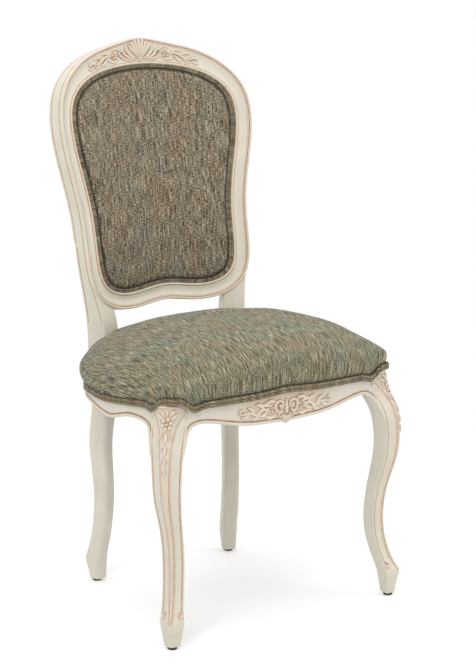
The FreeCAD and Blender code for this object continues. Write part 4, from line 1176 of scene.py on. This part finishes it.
# %% [markdown]
# ## Rear posts
# Each post is one stick from the foot to the crest: a raked leg with a heel, a square part at the
# seat, and the stile of the back. Two lines are cut in its outer side and stop just over the cushion.
# A bent box could follow the rake, but the section changes all the way up. So the body is a loft of
# rounded sections turned with the hollow of the back.

# %% Stations of the posts
TURN = math.radians(22)
POST_OUT = np.array([math.cos(TURN), -math.sin(TURN)])
POST_BACK = np.array([math.sin(TURN), math.cos(TURN)])
REAR_FOOT = np.array([145.5, 139.0])
HEEL = 41.0
HEEL_ROUND = (4.0, 10.0)
# Distance ahead of the foot, width and depth at the sole
REAR_SOLE = np.array([2.4, 25.0, 23.5])
# Height, distance ahead of the foot, width and depth of each section
POST_LEG = np.array(
    [
        (41.0, -2.0, 29.0, 34.5),
        (57.0, 2.0, 29.5, 31.5),
        (78.0, 7.5, 30.0, 29.5),
        (115.0, 14.0, 29.8, 29.5),
        (182.0, 16.5, 29.0, 32.0),
        (264.0, 12.0, 28.5, 37.5),
        (330.3, 20.0, 33.2, 36.8),
        (405.0, 20.0, 41.0, 38.0),
    ]
)


def pad_half_at(v):
    """Half the width of the pad at a distance up the rake."""
    side = pad[: RING // 2 + 1]
    side = side[(side[:, 1] < 262) & (side[:, 1] > -40)]
    return np.interp(v, side[::-1, 1], side[::-1, 0])


stations = []
for z, ahead, width, depth in POST_LEG:
    middle = REAR_FOOT - POST_BACK * ahead
    stations.append((z, middle[0], middle[1], width, depth))
for v, outer, width, depth, front in (
    (-109, POST[0] - 5 + 20.5, 41.0, 38.0, 0.0),
    (-52, pad_half_at(-39) + 27.5, 37.7, 30.0, 2.5),
    (4, pad_half_at(4) + 27.7, 36.0, 23.6, 3.6),
    (40, pad_half_at(40) + 27.6, 34.0, 22.6, 4.0),
    (75, pad_half_at(75) + 27.0, 32.0, 20.6, 5.0),
):
    edge = back_point(np.array(outer - width / 2), np.array(float(v)), front)
    middle = edge[:2] + POST_BACK * depth / 2
    stations.append((edge[2], middle[0], middle[1], width, depth))
stations = np.array(stations)
print("stations of a post:", len(stations), "up to", stations[-1, 0].round(1), "mm")

# %% Sections of a post
def post_loop(width, depth, cut, bend):
    """A rounded rectangle with two lines on its outer side, as (out, back) offsets and glaze."""
    spots, glaze_and_shade = [], []
    for sx, sy, start in ((1, 1, 0), (-1, 1, 90), (-1, -1, 180), (1, -1, 270)):
        for angle in np.radians(np.linspace(start, start + 90, 6)):
            out = sx * (width / 2 - bend) + bend * math.cos(angle)
            back = sy * (depth / 2 - bend) + bend * math.sin(angle)
            spots.append((out, back))
            glaze_and_shade.append(0.03)
    for share in np.linspace(0.02, 0.98, 40):
        back = -depth / 2 + bend + share * (depth - 2 * bend)
        from_front = back + depth / 2
        line = max(line_at(from_front - 4.6, 0.9), line_at(from_front - depth + 5.2, 0.9)) * cut
        spots.append((width / 2 - 0.8 * line, back))
        glaze_and_shade.append(0.03 + 0.85 * line)
    return np.array(spots), np.array(glaze_and_shade)


def post_line(z):
    """Middle, width and depth of the post's section, with a sharp heel."""
    if z > HEEL:
        return through(stations[:, 0], stations[:, 1:], np.array([z]))[0]
    share = (z - SOLE) / (HEEL - SOLE)
    ahead, width, depth = REAR_SOLE + (POST_LEG[0, 1:] - REAR_SOLE) * share
    middle = REAR_FOOT - POST_BACK * ahead
    return np.array([middle[0], middle[1], width, depth])


def post_at(z):
    """The same, rounded over the heel."""
    return rounded(post_line, z, HEEL, *HEEL_ROUND)


print("post at the seat:", post_at(430.0).round(1).tolist())

# %% Make the posts
SQUARE_FROM = 430.0
LINES_FROM = 473.0


def rear_post(name, mark):
    """One post with its part of the back's moulded ring."""
    stock = new_stock()
    rows, glazes = [], []
    levels = np.concatenate([np.linspace(SOLE, HEEL, 14), np.linspace(HEEL + 1, stations[-1, 0], 170)])
    for z in levels:
        x, y, width, depth = post_at(z)
        middle = np.array([x, y])
        bend = 3.0 + 4.5 * float(ease((SQUARE_FROM - z) / 70))
        loop, glaze_and_shade = post_loop(width, depth, float(ease((z - LINES_FROM) / 6)), bend)
        spot = middle + loop[:, :1] * POST_OUT + loop[:, 1:] * POST_BACK
        rows.append(np.column_stack([spot, np.full(len(spot), z)]))
        glazes.append(glaze_and_shade)
    lay_grid(stock, np.array(rows), np.array(glazes), loop=True, ends=True, side=mark)
    marks = marks_between(joint, corner)
    depth = np.clip(THIN_DEPTH + (pad[marks, 1] - 8) * 0.55, THIN_DEPTH, FRAME_DEPTH)
    ring_run(stock, marks, depth, mark)
    fit_out(make_piece(name, stock, paint), "painted_wood", name)


rear_post("rear_post_right", 1)
rear_post("rear_post_left", -1)

# %% [markdown]
# ## Glides
# A black nylon glide is nailed under each foot. It is a low drum with a rounded lower edge, a little
# taller than the solid it stands for, because that much of it shows under the real foot. A bevelled
# cylinder would do, but one turned profile is shorter and its heights can be read off.

# %% Turn the glides
# Height and radius
GLIDE = ((0.0, 6.6), (0.3, 7.6), (1.2, 8.2), (SOLE, 8.3), (SOLE + 0.8, 7.6))
turn = np.linspace(0, 2 * math.pi, 33)[:-1]
for end, spot in (("front", FOOT), ("rear", REAR_FOOT)):
    for word, mark in (("left", -1), ("right", 1)):
        rows = []
        for level, radius in GLIDE:
            x = spot[0] + radius * np.cos(turn)
            y = spot[1] + radius * np.sin(turn)
            rows.append(np.stack([x, y, level + 0 * turn], axis=1))
        stock = new_stock()
        lay_grid(stock, np.array(rows), loop=True, ends=True, side=mark)
        name = "foot_glide_" + end + "_" + word
        fit_out(make_piece(name, stock, nylon), "black_nylon", name)

# %% [markdown]
# ## The seat cushion
# The cover is pulled tight over a crowned foam pad and tucked in behind the welt, so its sides bulge
# over the welt and its top closes in one smooth dome. Sculpting could give that shape too, but rings
# between the seat's outline and its crown keep the sizes in view. Then a short cloth simulation swells
# the pad a little, held at its lower edge, as the stuffing does.

# %% Pattern of the cushion
SEAT_RISE = 121.0
# Height over the welt, distance outside the outline, and shrinking towards the heart
CUSHION = np.array(
    [
        (-3.0, -5.0, 1.0),
        (2.0, 0.0, 1.0),
        (7.0, 4.5, 1.0),
        (14.0, 8.0, 1.0),
        (23.0, 11.4, 1.0),
        (33.0, 12.4, 1.0),
        (43.0, 10.4, 1.0),
        (52.0, 5.0, 0.995),
        (61.0, 1.0, 0.965),
        (72.0, 1.0, 0.895),
        (85.0, 1.0, 0.775),
        (97.5, 1.0, 0.62),
        (106.5, 1.0, 0.44),
        (111.5, 1.0, 0.24),
        (113.0, 1.0, 0.05),
    ]
)
SEAT_HEART = (FACE_Y - FRONT_BOW + POST[1] + POST_GAP) / 2
SEAT_CROWN = SEAT_HEART + 48


def seat_loop(grow):
    """The whole outline with the same number of points at every size, from the rear round the front."""
    half = seat_half(grow)[::2]
    left = half[::-1] * (-1, 1)
    rear = np.linspace(half[-1], left[0], 24)[1:-1]
    return np.vstack([left, half[1:], rear])


def cloth_place(points):
    """Cloth coordinates that run straight over the top and turn down the sides."""
    x, y, z = points[..., 0], points[..., 1], points[..., 2]
    drop = edge_height(y) + SEAT_RISE - z
    gx = np.sign(x) * np.abs(x / 245) ** 3
    gy = np.sign(y - SEAT_HEART) * np.abs((y - SEAT_HEART) / 178) ** 3
    size = np.maximum(np.hypot(gx, gy), 1e-6)
    return np.stack([x + drop * gx / size, y + drop * gy / size], axis=-1)


print("points round the cushion:", len(seat_loop(0.0)))

# %% Build the cushion
WIDE = 12.0
TOP_SINK = 2.5
SIDE_DROP = 6.5
SIDE_REACH = 240.0
CORNER_AT = (228.0, -218.0)
CORNER_SPREAD = 82.0
CORNER_DROP = 39.0
REAR_TUCK = 6.6
share = np.linspace(0, 1, 44)
rings = through(np.linspace(0, 1, len(CUSHION)), CUSHION, share)
plain = seat_loop(0.0)
wide = seat_loop(WIDE)
low = welt_low(plain[:, 0], plain[:, 1]) + 8.0
bulge = (0.35 + 0.65 * ease((plain[:, 1] + 190) / 120)) * (1 - ease((plain[:, 1] - 55) / 55))
rear_push = REAR_TUCK * ease((116 - np.abs(plain[:, 0])) / 14) * (plain[:, 1] > 120)
rows = []
for height, grow, shrink in rings:
    plan = plain + (wide - plain) * (grow / WIDE * np.where(grow > 0, bulge, 1))[:, None]
    plan[:, 1] += rear_push
    x = plan[:, 0] * shrink
    y = SEAT_CROWN + (plan[:, 1] - SEAT_CROWN) * shrink
    top = edge_height(y) + SEAT_RISE - TOP_SINK - SIDE_DROP * np.abs(x / SIDE_REACH) ** 2
    near_corner = line_at(np.hypot(np.abs(x) - CORNER_AT[0], y - CORNER_AT[1]), CORNER_SPREAD)
    top = top - CORNER_DROP * near_corner * ease(height / 40)
    rows.append(np.stack([x, y, low + (top - low) * height / CUSHION[-1, 0]], axis=1))
rows = np.array(rows)
# Painted shade on the lowest rings, which tuck in behind the welt.
shade = np.clip(1 - (share[:, None] - 0.06) / 0.09, 0, 1) + 0 * rows[..., 0]
stock = new_stock()
lay_grid(stock, rows, shade, loop=True, ends=True, cloth=cloth_place(rows))
cushion = make_piece("seat_cushion", stock, seat_tweed, 180)

# %% Fill the cushion
STUFF_FRAMES = 20
HELD_RINGS = 9


def stuff(piece, held, pressure, cap):
    """Swells a pad with the cloth solver; held are the points that stay, cap the most that one may move."""
    before = np.empty(len(piece.data.vertices) * 3)
    piece.data.vertices.foreach_get("co", before)
    before = before.reshape(-1, 3)
    group = piece.vertex_groups.new(name="held")
    group.add([int(i) for i in np.nonzero(held)[0]], 1.0, "REPLACE")
    cloth = piece.modifiers.new("stuffing", "CLOTH")
    cloth.settings.vertex_group_mass = "held"
    cloth.settings.use_pressure = True
    cloth.settings.uniform_pressure_force = pressure
    cloth.settings.tension_stiffness = 60
    cloth.settings.compression_stiffness = 60
    cloth.settings.bending_stiffness = 12
    cloth.settings.quality = 5
    cloth.settings.effector_weights.gravity = 0
    cloth.collision_settings.use_collision = False
    cloth.point_cache.frame_end = STUFF_FRAMES
    for step in range(1, STUFF_FRAMES + 1):
        scene.frame_set(step)
    made = piece.evaluated_get(bpy.context.evaluated_depsgraph_get())
    after = np.empty(len(made.data.vertices) * 3)
    made.data.vertices.foreach_get("co", after)
    piece.modifiers.remove(cloth)
    piece.vertex_groups.clear()
    scene.frame_set(1)
    move = after.reshape(-1, 3) - before
    far = np.linalg.norm(move, axis=1, keepdims=True)
    move *= np.minimum(1, cap / np.maximum(far, 1e-9))
    piece.data.vertices.foreach_set("co", (before + move).ravel())
    piece.data.update()
    print("stuffed", piece.name, "moved up to", round(float(np.minimum(far, cap).max()) / MM, 2), "mm")


stuff(cushion, np.arange(rows.shape[0] * rows.shape[1]) < rows.shape[1] * HELD_RINGS, 3.0, 3.5 * MM)
fit_out(cushion, "tweed", "seat_cover", "seat_foam")

# %% [markdown]
# ## Double welt of the seat
# The raw edge of the cover is hidden by a double welt: two cords in one strip of the same cloth. It
# follows the rails, dips at the sides of each knee and arches over it. A bevelled curve could be the
# cord, but the cloth is cut on the bias and has painted shade at its foot, by the cushion, so the cord
# is laid as a grid of points.

# %% Line of the seat welt
# How far the cords stand off the outline at the sides and at the front
SIDE_STAND = 2.2
FRONT_STAND = 5.0
half = seat_half(0.0)
welt = np.vstack([half[::-1] * (-1, 1), half[1:]])
welt = along(welt[::3], 520)[3:-3]
welt_way = np.gradient(welt, axis=0)
welt_way /= np.linalg.norm(welt_way, axis=1)[:, None]
welt_out = np.stack([welt_way[:, 1], -welt_way[:, 0]], axis=1)
welt_run = np.concatenate([[0], np.cumsum(np.linalg.norm(np.diff(welt, axis=0), axis=1))])
welt_base = welt_low(welt[:, 0], welt[:, 1])
from_knee = np.hypot(np.abs(welt[:, 0]) - FACE_X, welt[:, 1] - FACE_Y)
stand = SIDE_STAND + 3.4 * line_at(from_knee, 60.0)
stand = np.where(welt[:, 1] < -190, FRONT_STAND, stand)
stand = np.convolve(np.pad(stand, 12, mode="edge"), np.full(25, 1 / 25), mode="valid")
print("seat welt", welt_run[-1].round(), "mm long")

# %% Lay the seat welt
BIAS = 0.7
CORD_SHADE = 0.75
CORD_RADIUS = 2.75


def cord(stock, height, radius):
    """One cord of the seat's welt, round in section, with the cloth wrapped on the bias and painted shade
    on its inner side.
    """
    turn = np.linspace(0, 2 * math.pi, 15)
    around = stand[:, None] + radius * np.cos(turn)[None, :]
    up = radius * np.sin(turn)
    x = welt[:, :1] + welt_out[:, :1] * around
    y = welt[:, 1:] + welt_out[:, 1:] * around
    points = np.stack([x, y, height[:, None] + up[None, :] + 0 * x], axis=-1)
    # Painted shade on the cord's inner side, towards the cushion.
    glaze_and_shade = np.clip(1 - (np.cos(turn) + 0.6) / 0.5, 0, 1)[None, :] * CORD_SHADE + 0 * x
    length = welt_run[:, None] * BIAS + 0 * x
    cloth = np.stack([length + up[None, :], length - turn[None, :] * radius], axis=-1)
    lay_grid(stock, points, glaze_and_shade, cloth=cloth)


stock = new_stock()
for level in (2.9, 8.1):
    cord(stock, welt_base + level, CORD_RADIUS)
fit_out(make_piece("seat_welt", stock, welt_tweed, 60, weld=True), "tweed", "seat_welt")

# %% [markdown]
# ## Back pad
# The pad of the back is set into the frame: a crowned face rolled over at its edge, with a double
# welt in the gap. A filled curve would lie flat on the hollow frame, so the pad is built in rings from
# its line to its heart, each bent with the frame, and swelled like the seat.

# %% Rings of the back pad
pad_heart = np.array([0.0, 140.0])
snug = 1 - 0.3 * pad_out[:, 1] ** 2


def pad_rings(stock, shares, inset, depth, glaze_and_shade, low_shade=0.0):
    """Rings from the pad line, moved in by an inset, towards the heart of the pad, with painted shade per
    ring and more towards the bottom.
    """
    rows, flats = [], []
    edge = (pad - pad_out * inset * snug[:, None])[::3]
    for share, deep in zip(shares, depth):
        spot = pad_heart + (edge - pad_heart) * share
        rows.append(back_point(spot[:, 0], spot[:, 1], deep))
        flats.append(spot)
    flats = np.array(flats)
    # Painted shade, and more of it towards the bottom of the pad.
    shadow = np.array(glaze_and_shade)[:, None] + low_shade * ease((70 - flats[..., 1]) / 140)
    lay_grid(stock, np.array(rows), np.clip(shadow, 0, 1), loop=True, ends=True, cloth=flats)


print("pad line is drawn in by", snug.min().round(2), "to", snug.max().round(2), "of an inset")

# %% Build the back pad
PAD_INSET = 9.2
PAD_DEEP = 9.0
PAD_ROLL = 6.5
PAD_CROWN = 5.2
LOW_SHADE = 0.16
HELD_PAD_RINGS = 7
rear = np.array([0.02, 0.35, 0.7])
roll = np.linspace(0.02, 1, 9)
crown = np.linspace(0.93, 0.02, 24)
steps = np.concatenate([rear, [1.0, 1.0, 1.0], 1 - 0.05 * roll, crown])
rolled = -0.5 - PAD_ROLL * np.sin(roll * math.pi / 2)
front = -0.5 - PAD_ROLL - PAD_CROWN * (crown[0] ** 2.4 - crown**2.4)
rise = np.concatenate([PAD_DEEP + 0 * rear, [PAD_DEEP, 4.0, 0.5], rolled, front])
stock = new_stock()
# Painted shade in the gap round the pad: full on the rings behind the welt, fading over the roll.
shade = np.concatenate([[1.0] * 8, [0.8, 0.35, 0.1], np.zeros(len(steps) - 11)])
pad_rings(stock, steps, PAD_INSET, rise, shade, LOW_SHADE)
back_pad = make_piece("back_pad", stock, back_tweed, 180)
stuff(back_pad, np.arange(len(back_pad.data.vertices)) < RING // 3 * HELD_PAD_RINGS, 2.0, 3.0 * MM)
fit_out(back_pad, "tweed", "inside_back_cover", "back_foam")

# %% Lay the welt round the pad
def ring_cord(stock, inset, depth, radius, shade):
    """A cord round the pad, inset from its line; shade is the painted shade at its foot."""
    turn = np.linspace(0, 2 * math.pi, 13)
    reach = snug[:, None] * (radius * np.cos(turn) - inset)[None, :]
    spot = pad[:, None, :] + pad_out[:, None, :] * reach[..., None]
    points = back_point(spot[..., 0], spot[..., 1], depth - radius * np.sin(turn)[None, :])
    run = np.arange(RING) * pad_step
    flat = np.stack([run[:, None] * BIAS + 2 * turn, run[:, None] * BIAS - 2 * turn], axis=-1)
    # Painted shade on the back of the cord, deep in the gap by the pad.
    glaze_and_shade = np.clip(1 - (np.sin(turn) + 0.6) / 0.5, 0, 1)[None, :] * shade + 0 * spot[..., 0]
    closed = np.concatenate([points, points[:1]])
    closed_shade = np.concatenate([glaze_and_shade, glaze_and_shade[:1]])
    closed_flat = np.concatenate([flat, flat[-1:] + 0.001])
    lay_grid(stock, closed, closed_shade, cloth=closed_flat)


stock = new_stock()
for inset in (2.4, 7.0):
    ring_cord(stock, inset, 0.6, 2.45, 0.9)
fit_out(make_piece("inside_back_welt", stock, welt_tweed, 60, weld=True), "tweed", "inside_back_welt")

# %% [markdown]
# ## Outside of the back
# The rear of the frame is closed by a panel of the same cloth with a single cord round it. It could be
# one bent sheet, but the cloth is pulled over thin padding and stands out a little in the middle. So
# it is built from the same rings as the pad.

# %% Close the back
OUTER_EDGE = 22.0
OUTER_FACE = 25.5
OUTER_CROWN = 3.0
stock = new_stock()
crown = np.linspace(0.995, 0.02, 24)
steps = np.concatenate([rear, [0.99, 0.995], crown])
face = OUTER_FACE + OUTER_CROWN * (1 - crown**2)
rise = np.concatenate([OUTER_EDGE + 0 * rear, [OUTER_EDGE, OUTER_FACE - 1.0], face])
pad_rings(stock, steps, 3.5, rise, np.zeros(len(steps)))
outer_back = make_piece("outside_back_cover", stock, back_tweed, 180)
fit_out(outer_back, "tweed", "outside_back_cover")
stock = new_stock()
ring_cord(stock, 2.6, FRAME_DEPTH, 2.3, 0.0)
fit_out(make_piece("outside_back_welt", stock, back_tweed, 60, weld=True), "tweed", "outside_back_welt")

# %% [markdown]
# ## Lining under the seat
# A black cloth closes the seat from below. It is stretched, tacked near its edge, and sags a little
# between the rails. A plane would do, but the cloth follows the seat's outline, so it is laid in rings.
# The tacks repeat along its edge, so Geometry Nodes set them there, one every spacing.

# %% Stretch the lining
LINING_TOP = 363.0
LINING_THICK = 0.9
LINING_SAG = 4.0
LINING_SIDE = 213.5
stock = new_stock()
edge = seat_loop(-23.0)
edge = np.stack([np.clip(edge[:, 0], -LINING_SIDE, LINING_SIDE), np.clip(edge[:, 1], -195, 102)], axis=1)
rows, flats = [], []
heart = np.array([0.0, SEAT_HEART])
shares = np.concatenate([[0.985, 1.0], np.linspace(1.0, 0.02, 22)])
for step, share in enumerate(shares):
    spot = heart + (edge - heart) * share
    level = LINING_TOP - LINING_THICK * (step > 0) - LINING_SAG * (1 - share**2) * (step > 1)
    rows.append(np.column_stack([spot, np.full(len(spot), level)]))
    flats.append(spot)
lay_grid(stock, np.array(rows), loop=True, ends=True, cloth=np.array(flats))
lining_piece = make_piece("dust_cover", stock, lining, 60)
fit_out(lining_piece, "black_cloth", "dust_cover")

# %% A tree that sets tacks
def tack_tree():
    """Geometry nodes for round-headed tacks along a line, one every spacing."""
    tree = bpy.data.node_groups.new("row_of_tacks", "GeometryNodeTree")
    for word, kind in (("Line", "Geometry"), ("Spacing", "Float"), ("Radius", "Float")):
        tree.interface.new_socket(name=word, in_out="INPUT", socket_type="NodeSocket" + kind)
    tree.interface.new_socket(name="Tacks", in_out="OUTPUT", socket_type="NodeSocketGeometry")
    given = add(tree, "NodeGroupInput").outputs
    curve = add(tree, "GeometryNodeMeshToCurve", {"Mesh": given["Line"]})
    even = add(
        tree,
        "GeometryNodeResampleCurve",
        {"Curve": curve.outputs["Curve"], "Length": given["Spacing"]},
        mode="LENGTH",
    )
    ball = add(tree, "GeometryNodeMeshUVSphere", {"Segments": 12, "Rings": 8, "Radius": given["Radius"]})
    head = add(tree, "GeometryNodeTransform", {"Geometry": ball.outputs["Mesh"], "Scale": (1, 1, 0.4)})
    placed = add(
        tree,
        "GeometryNodeInstanceOnPoints",
        {"Points": even.outputs["Curve"], "Instance": head.outputs["Geometry"]},
    )
    real = add(tree, "GeometryNodeRealizeInstances", {"Geometry": placed.outputs["Instances"]})
    done = add(tree, "GeometryNodeSetMaterial", {"Geometry": real.outputs["Geometry"], "Material": steel})
    add(tree, "NodeGroupOutput", {"Tacks": done.outputs["Geometry"]})
    print("tack tree with", len(tree.nodes), "nodes")
    return tree


# %% Set the tacks
def tack_row(name, line, tree, spacing, radius):
    """A closed row of tacks, made real so that the object's mesh holds them."""
    mesh = bpy.data.meshes.new(name)
    count = len(line)
    mesh.from_pydata((line * MM).tolist(), [(i, (i + 1) % count) for i in range(count)], [])
    row = bpy.data.objects.new(name, mesh)
    scene.collection.objects.link(row)
    maker = row.modifiers.new("tacks", "NODES")
    maker.node_group = tree
    values = {"Spacing": spacing * MM, "Radius": radius * MM}
    for socket in tree.interface.items_tree:
        if socket.name in values:
            maker[socket.identifier] = values[socket.name]
    made = bpy.data.meshes.new_from_object(row.evaluated_get(bpy.context.evaluated_depsgraph_get()))
    row.modifiers.clear()
    row.data = made
    print("made", name, len(made.polygons), "faces")
    return row


TACK_GAP = 48.0
TACK_RADIUS = 3.2
TACK_LEVEL = 361.6
hem = heart + (edge - heart) * 0.96
hem = np.column_stack([hem, np.full(len(hem), TACK_LEVEL)])
tacks = tack_row("lining_tacks", hem, tack_tree(), TACK_GAP, TACK_RADIUS)
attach(tacks, "root")

# %% [markdown]
# ## Light, floor and backdrop
# The chair stands in a product studio: a pale floor, a white backdrop and soft light from the upper
# left. A curved paper sweep could be built, but the floor only has to turn white with distance. So it
# glows to the camera and in reflections, and the light on the chair stays plain.

# %% Finish of the floor
FLOOR_GLOW = 0.36


def sees_backdrop(tree):
    """1 for rays that show the studio: from the camera, off a shiny thing or through a clear one."""
    ray = add(tree, "ShaderNodeLightPath").outputs
    seen = ray["Is Camera Ray"]
    for word in ("Is Glossy Ray", "Is Transmission Ray"):
        seen = add(tree, "ShaderNodeMath", {0: seen, 1: ray[word]}, operation="MAXIMUM").outputs["Value"]
    return seen


floor_finish, tree, shader = finish_named("studio_floor")
shader.inputs["Base Color"].default_value = ink("#EDEDED")
shader.inputs["Roughness"].default_value = 0.9
shader.inputs["Specular IOR Level"].default_value = 0.0
ray = sees_backdrop(tree)
glow = add(tree, "ShaderNodeMath", {0: ray, 1: FLOOR_GLOW}, operation="MULTIPLY")
tree.links.new(glow.outputs["Value"], shader.inputs["Emission Strength"])
shader.inputs["Emission Color"].default_value = (1, 1, 1, 1)
spot = add(tree, "ShaderNodeTexCoord").outputs["Object"]
away = add(tree, "ShaderNodeVectorMath", {0: spot}, operation="LENGTH").outputs["Value"]
fade = add(
    tree,
    "ShaderNodeMapRange",
    {"Value": away, "From Min": 0.55, "From Max": 1.3},
    interpolation_type="SMOOTHSTEP",
)
far = add(tree, "ShaderNodeMath", {0: fade.outputs["Result"], 1: ray}, operation="MULTIPLY")
white = add(tree, "ShaderNodeEmission", {"Color": (1, 1, 1, 1), "Strength": 1.0})
both = add(
    tree,
    "ShaderNodeMixShader",
    {0: far.outputs["Value"], 1: shader.outputs["BSDF"], 2: white.outputs["Emission"]},
)
tree.links.new(both.outputs["Shader"], tree.nodes["Material Output"].inputs["Surface"])
print("finish", floor_finish.name, "with", len(tree.nodes), "nodes")

# %% Lay the floor
FLOOR_REACH = 9.0
floor_mesh = bpy.data.meshes.new("studio_floor")
corners = [(x * FLOOR_REACH, y * FLOOR_REACH, 0) for x, y in ((-1, -1), (1, -1), (1, 1), (-1, 1))]
floor_mesh.from_pydata(corners, [], [(0, 1, 2, 3)])
floor_mesh.materials.append(floor_finish)
floor = bpy.data.objects.new("studio_floor", floor_mesh)
scene.collection.objects.link(floor)
print("floor", 2 * FLOOR_REACH, "m wide")

# %% Backdrop
world = bpy.data.worlds.new("studio")
scene.world = world
world.use_nodes = True
tree = world.node_tree
backdrop = tree.nodes["Background"]
level = add(tree, "ShaderNodeMapRange", {"Value": sees_backdrop(tree), "To Min": 0.62, "To Max": 1.0})
tree.links.new(level.outputs["Result"], backdrop.inputs["Strength"])
backdrop.inputs["Color"].default_value = (1, 1, 1, 1)
print("backdrop with", len(tree.nodes), "nodes")

# %% Lamps
def soft_lamp(name, place, aim, size, power):
    """A round soft light, in metres and watts, turned to a point on the chair."""
    lamp = bpy.data.lights.new(name, "AREA")
    lamp.shape = "DISK"
    lamp.size = size
    lamp.energy = power
    holder = bpy.data.objects.new(name, lamp)
    scene.collection.objects.link(holder)
    way = Vector(aim) - Vector(place)
    holder.location = place
    holder.rotation_euler = way.to_track_quat("-Z", "Y").to_euler()
    print("lamp", name, power, "W at", round(way.length, 2), "m")


soft_lamp("key_upper_left", (-2.4, -1.6, 2.9), (0, 0, 0.5), 1.8, 40)
soft_lamp("fill_right", (2.6, -2.2, 1.7), (0, 0, 0.5), 2.2, 22)
soft_lamp("top", (0.3, 0.4, 3.4), (0, 0, 0.4), 2.4, 26)
scene.view_settings.view_transform = "Standard"
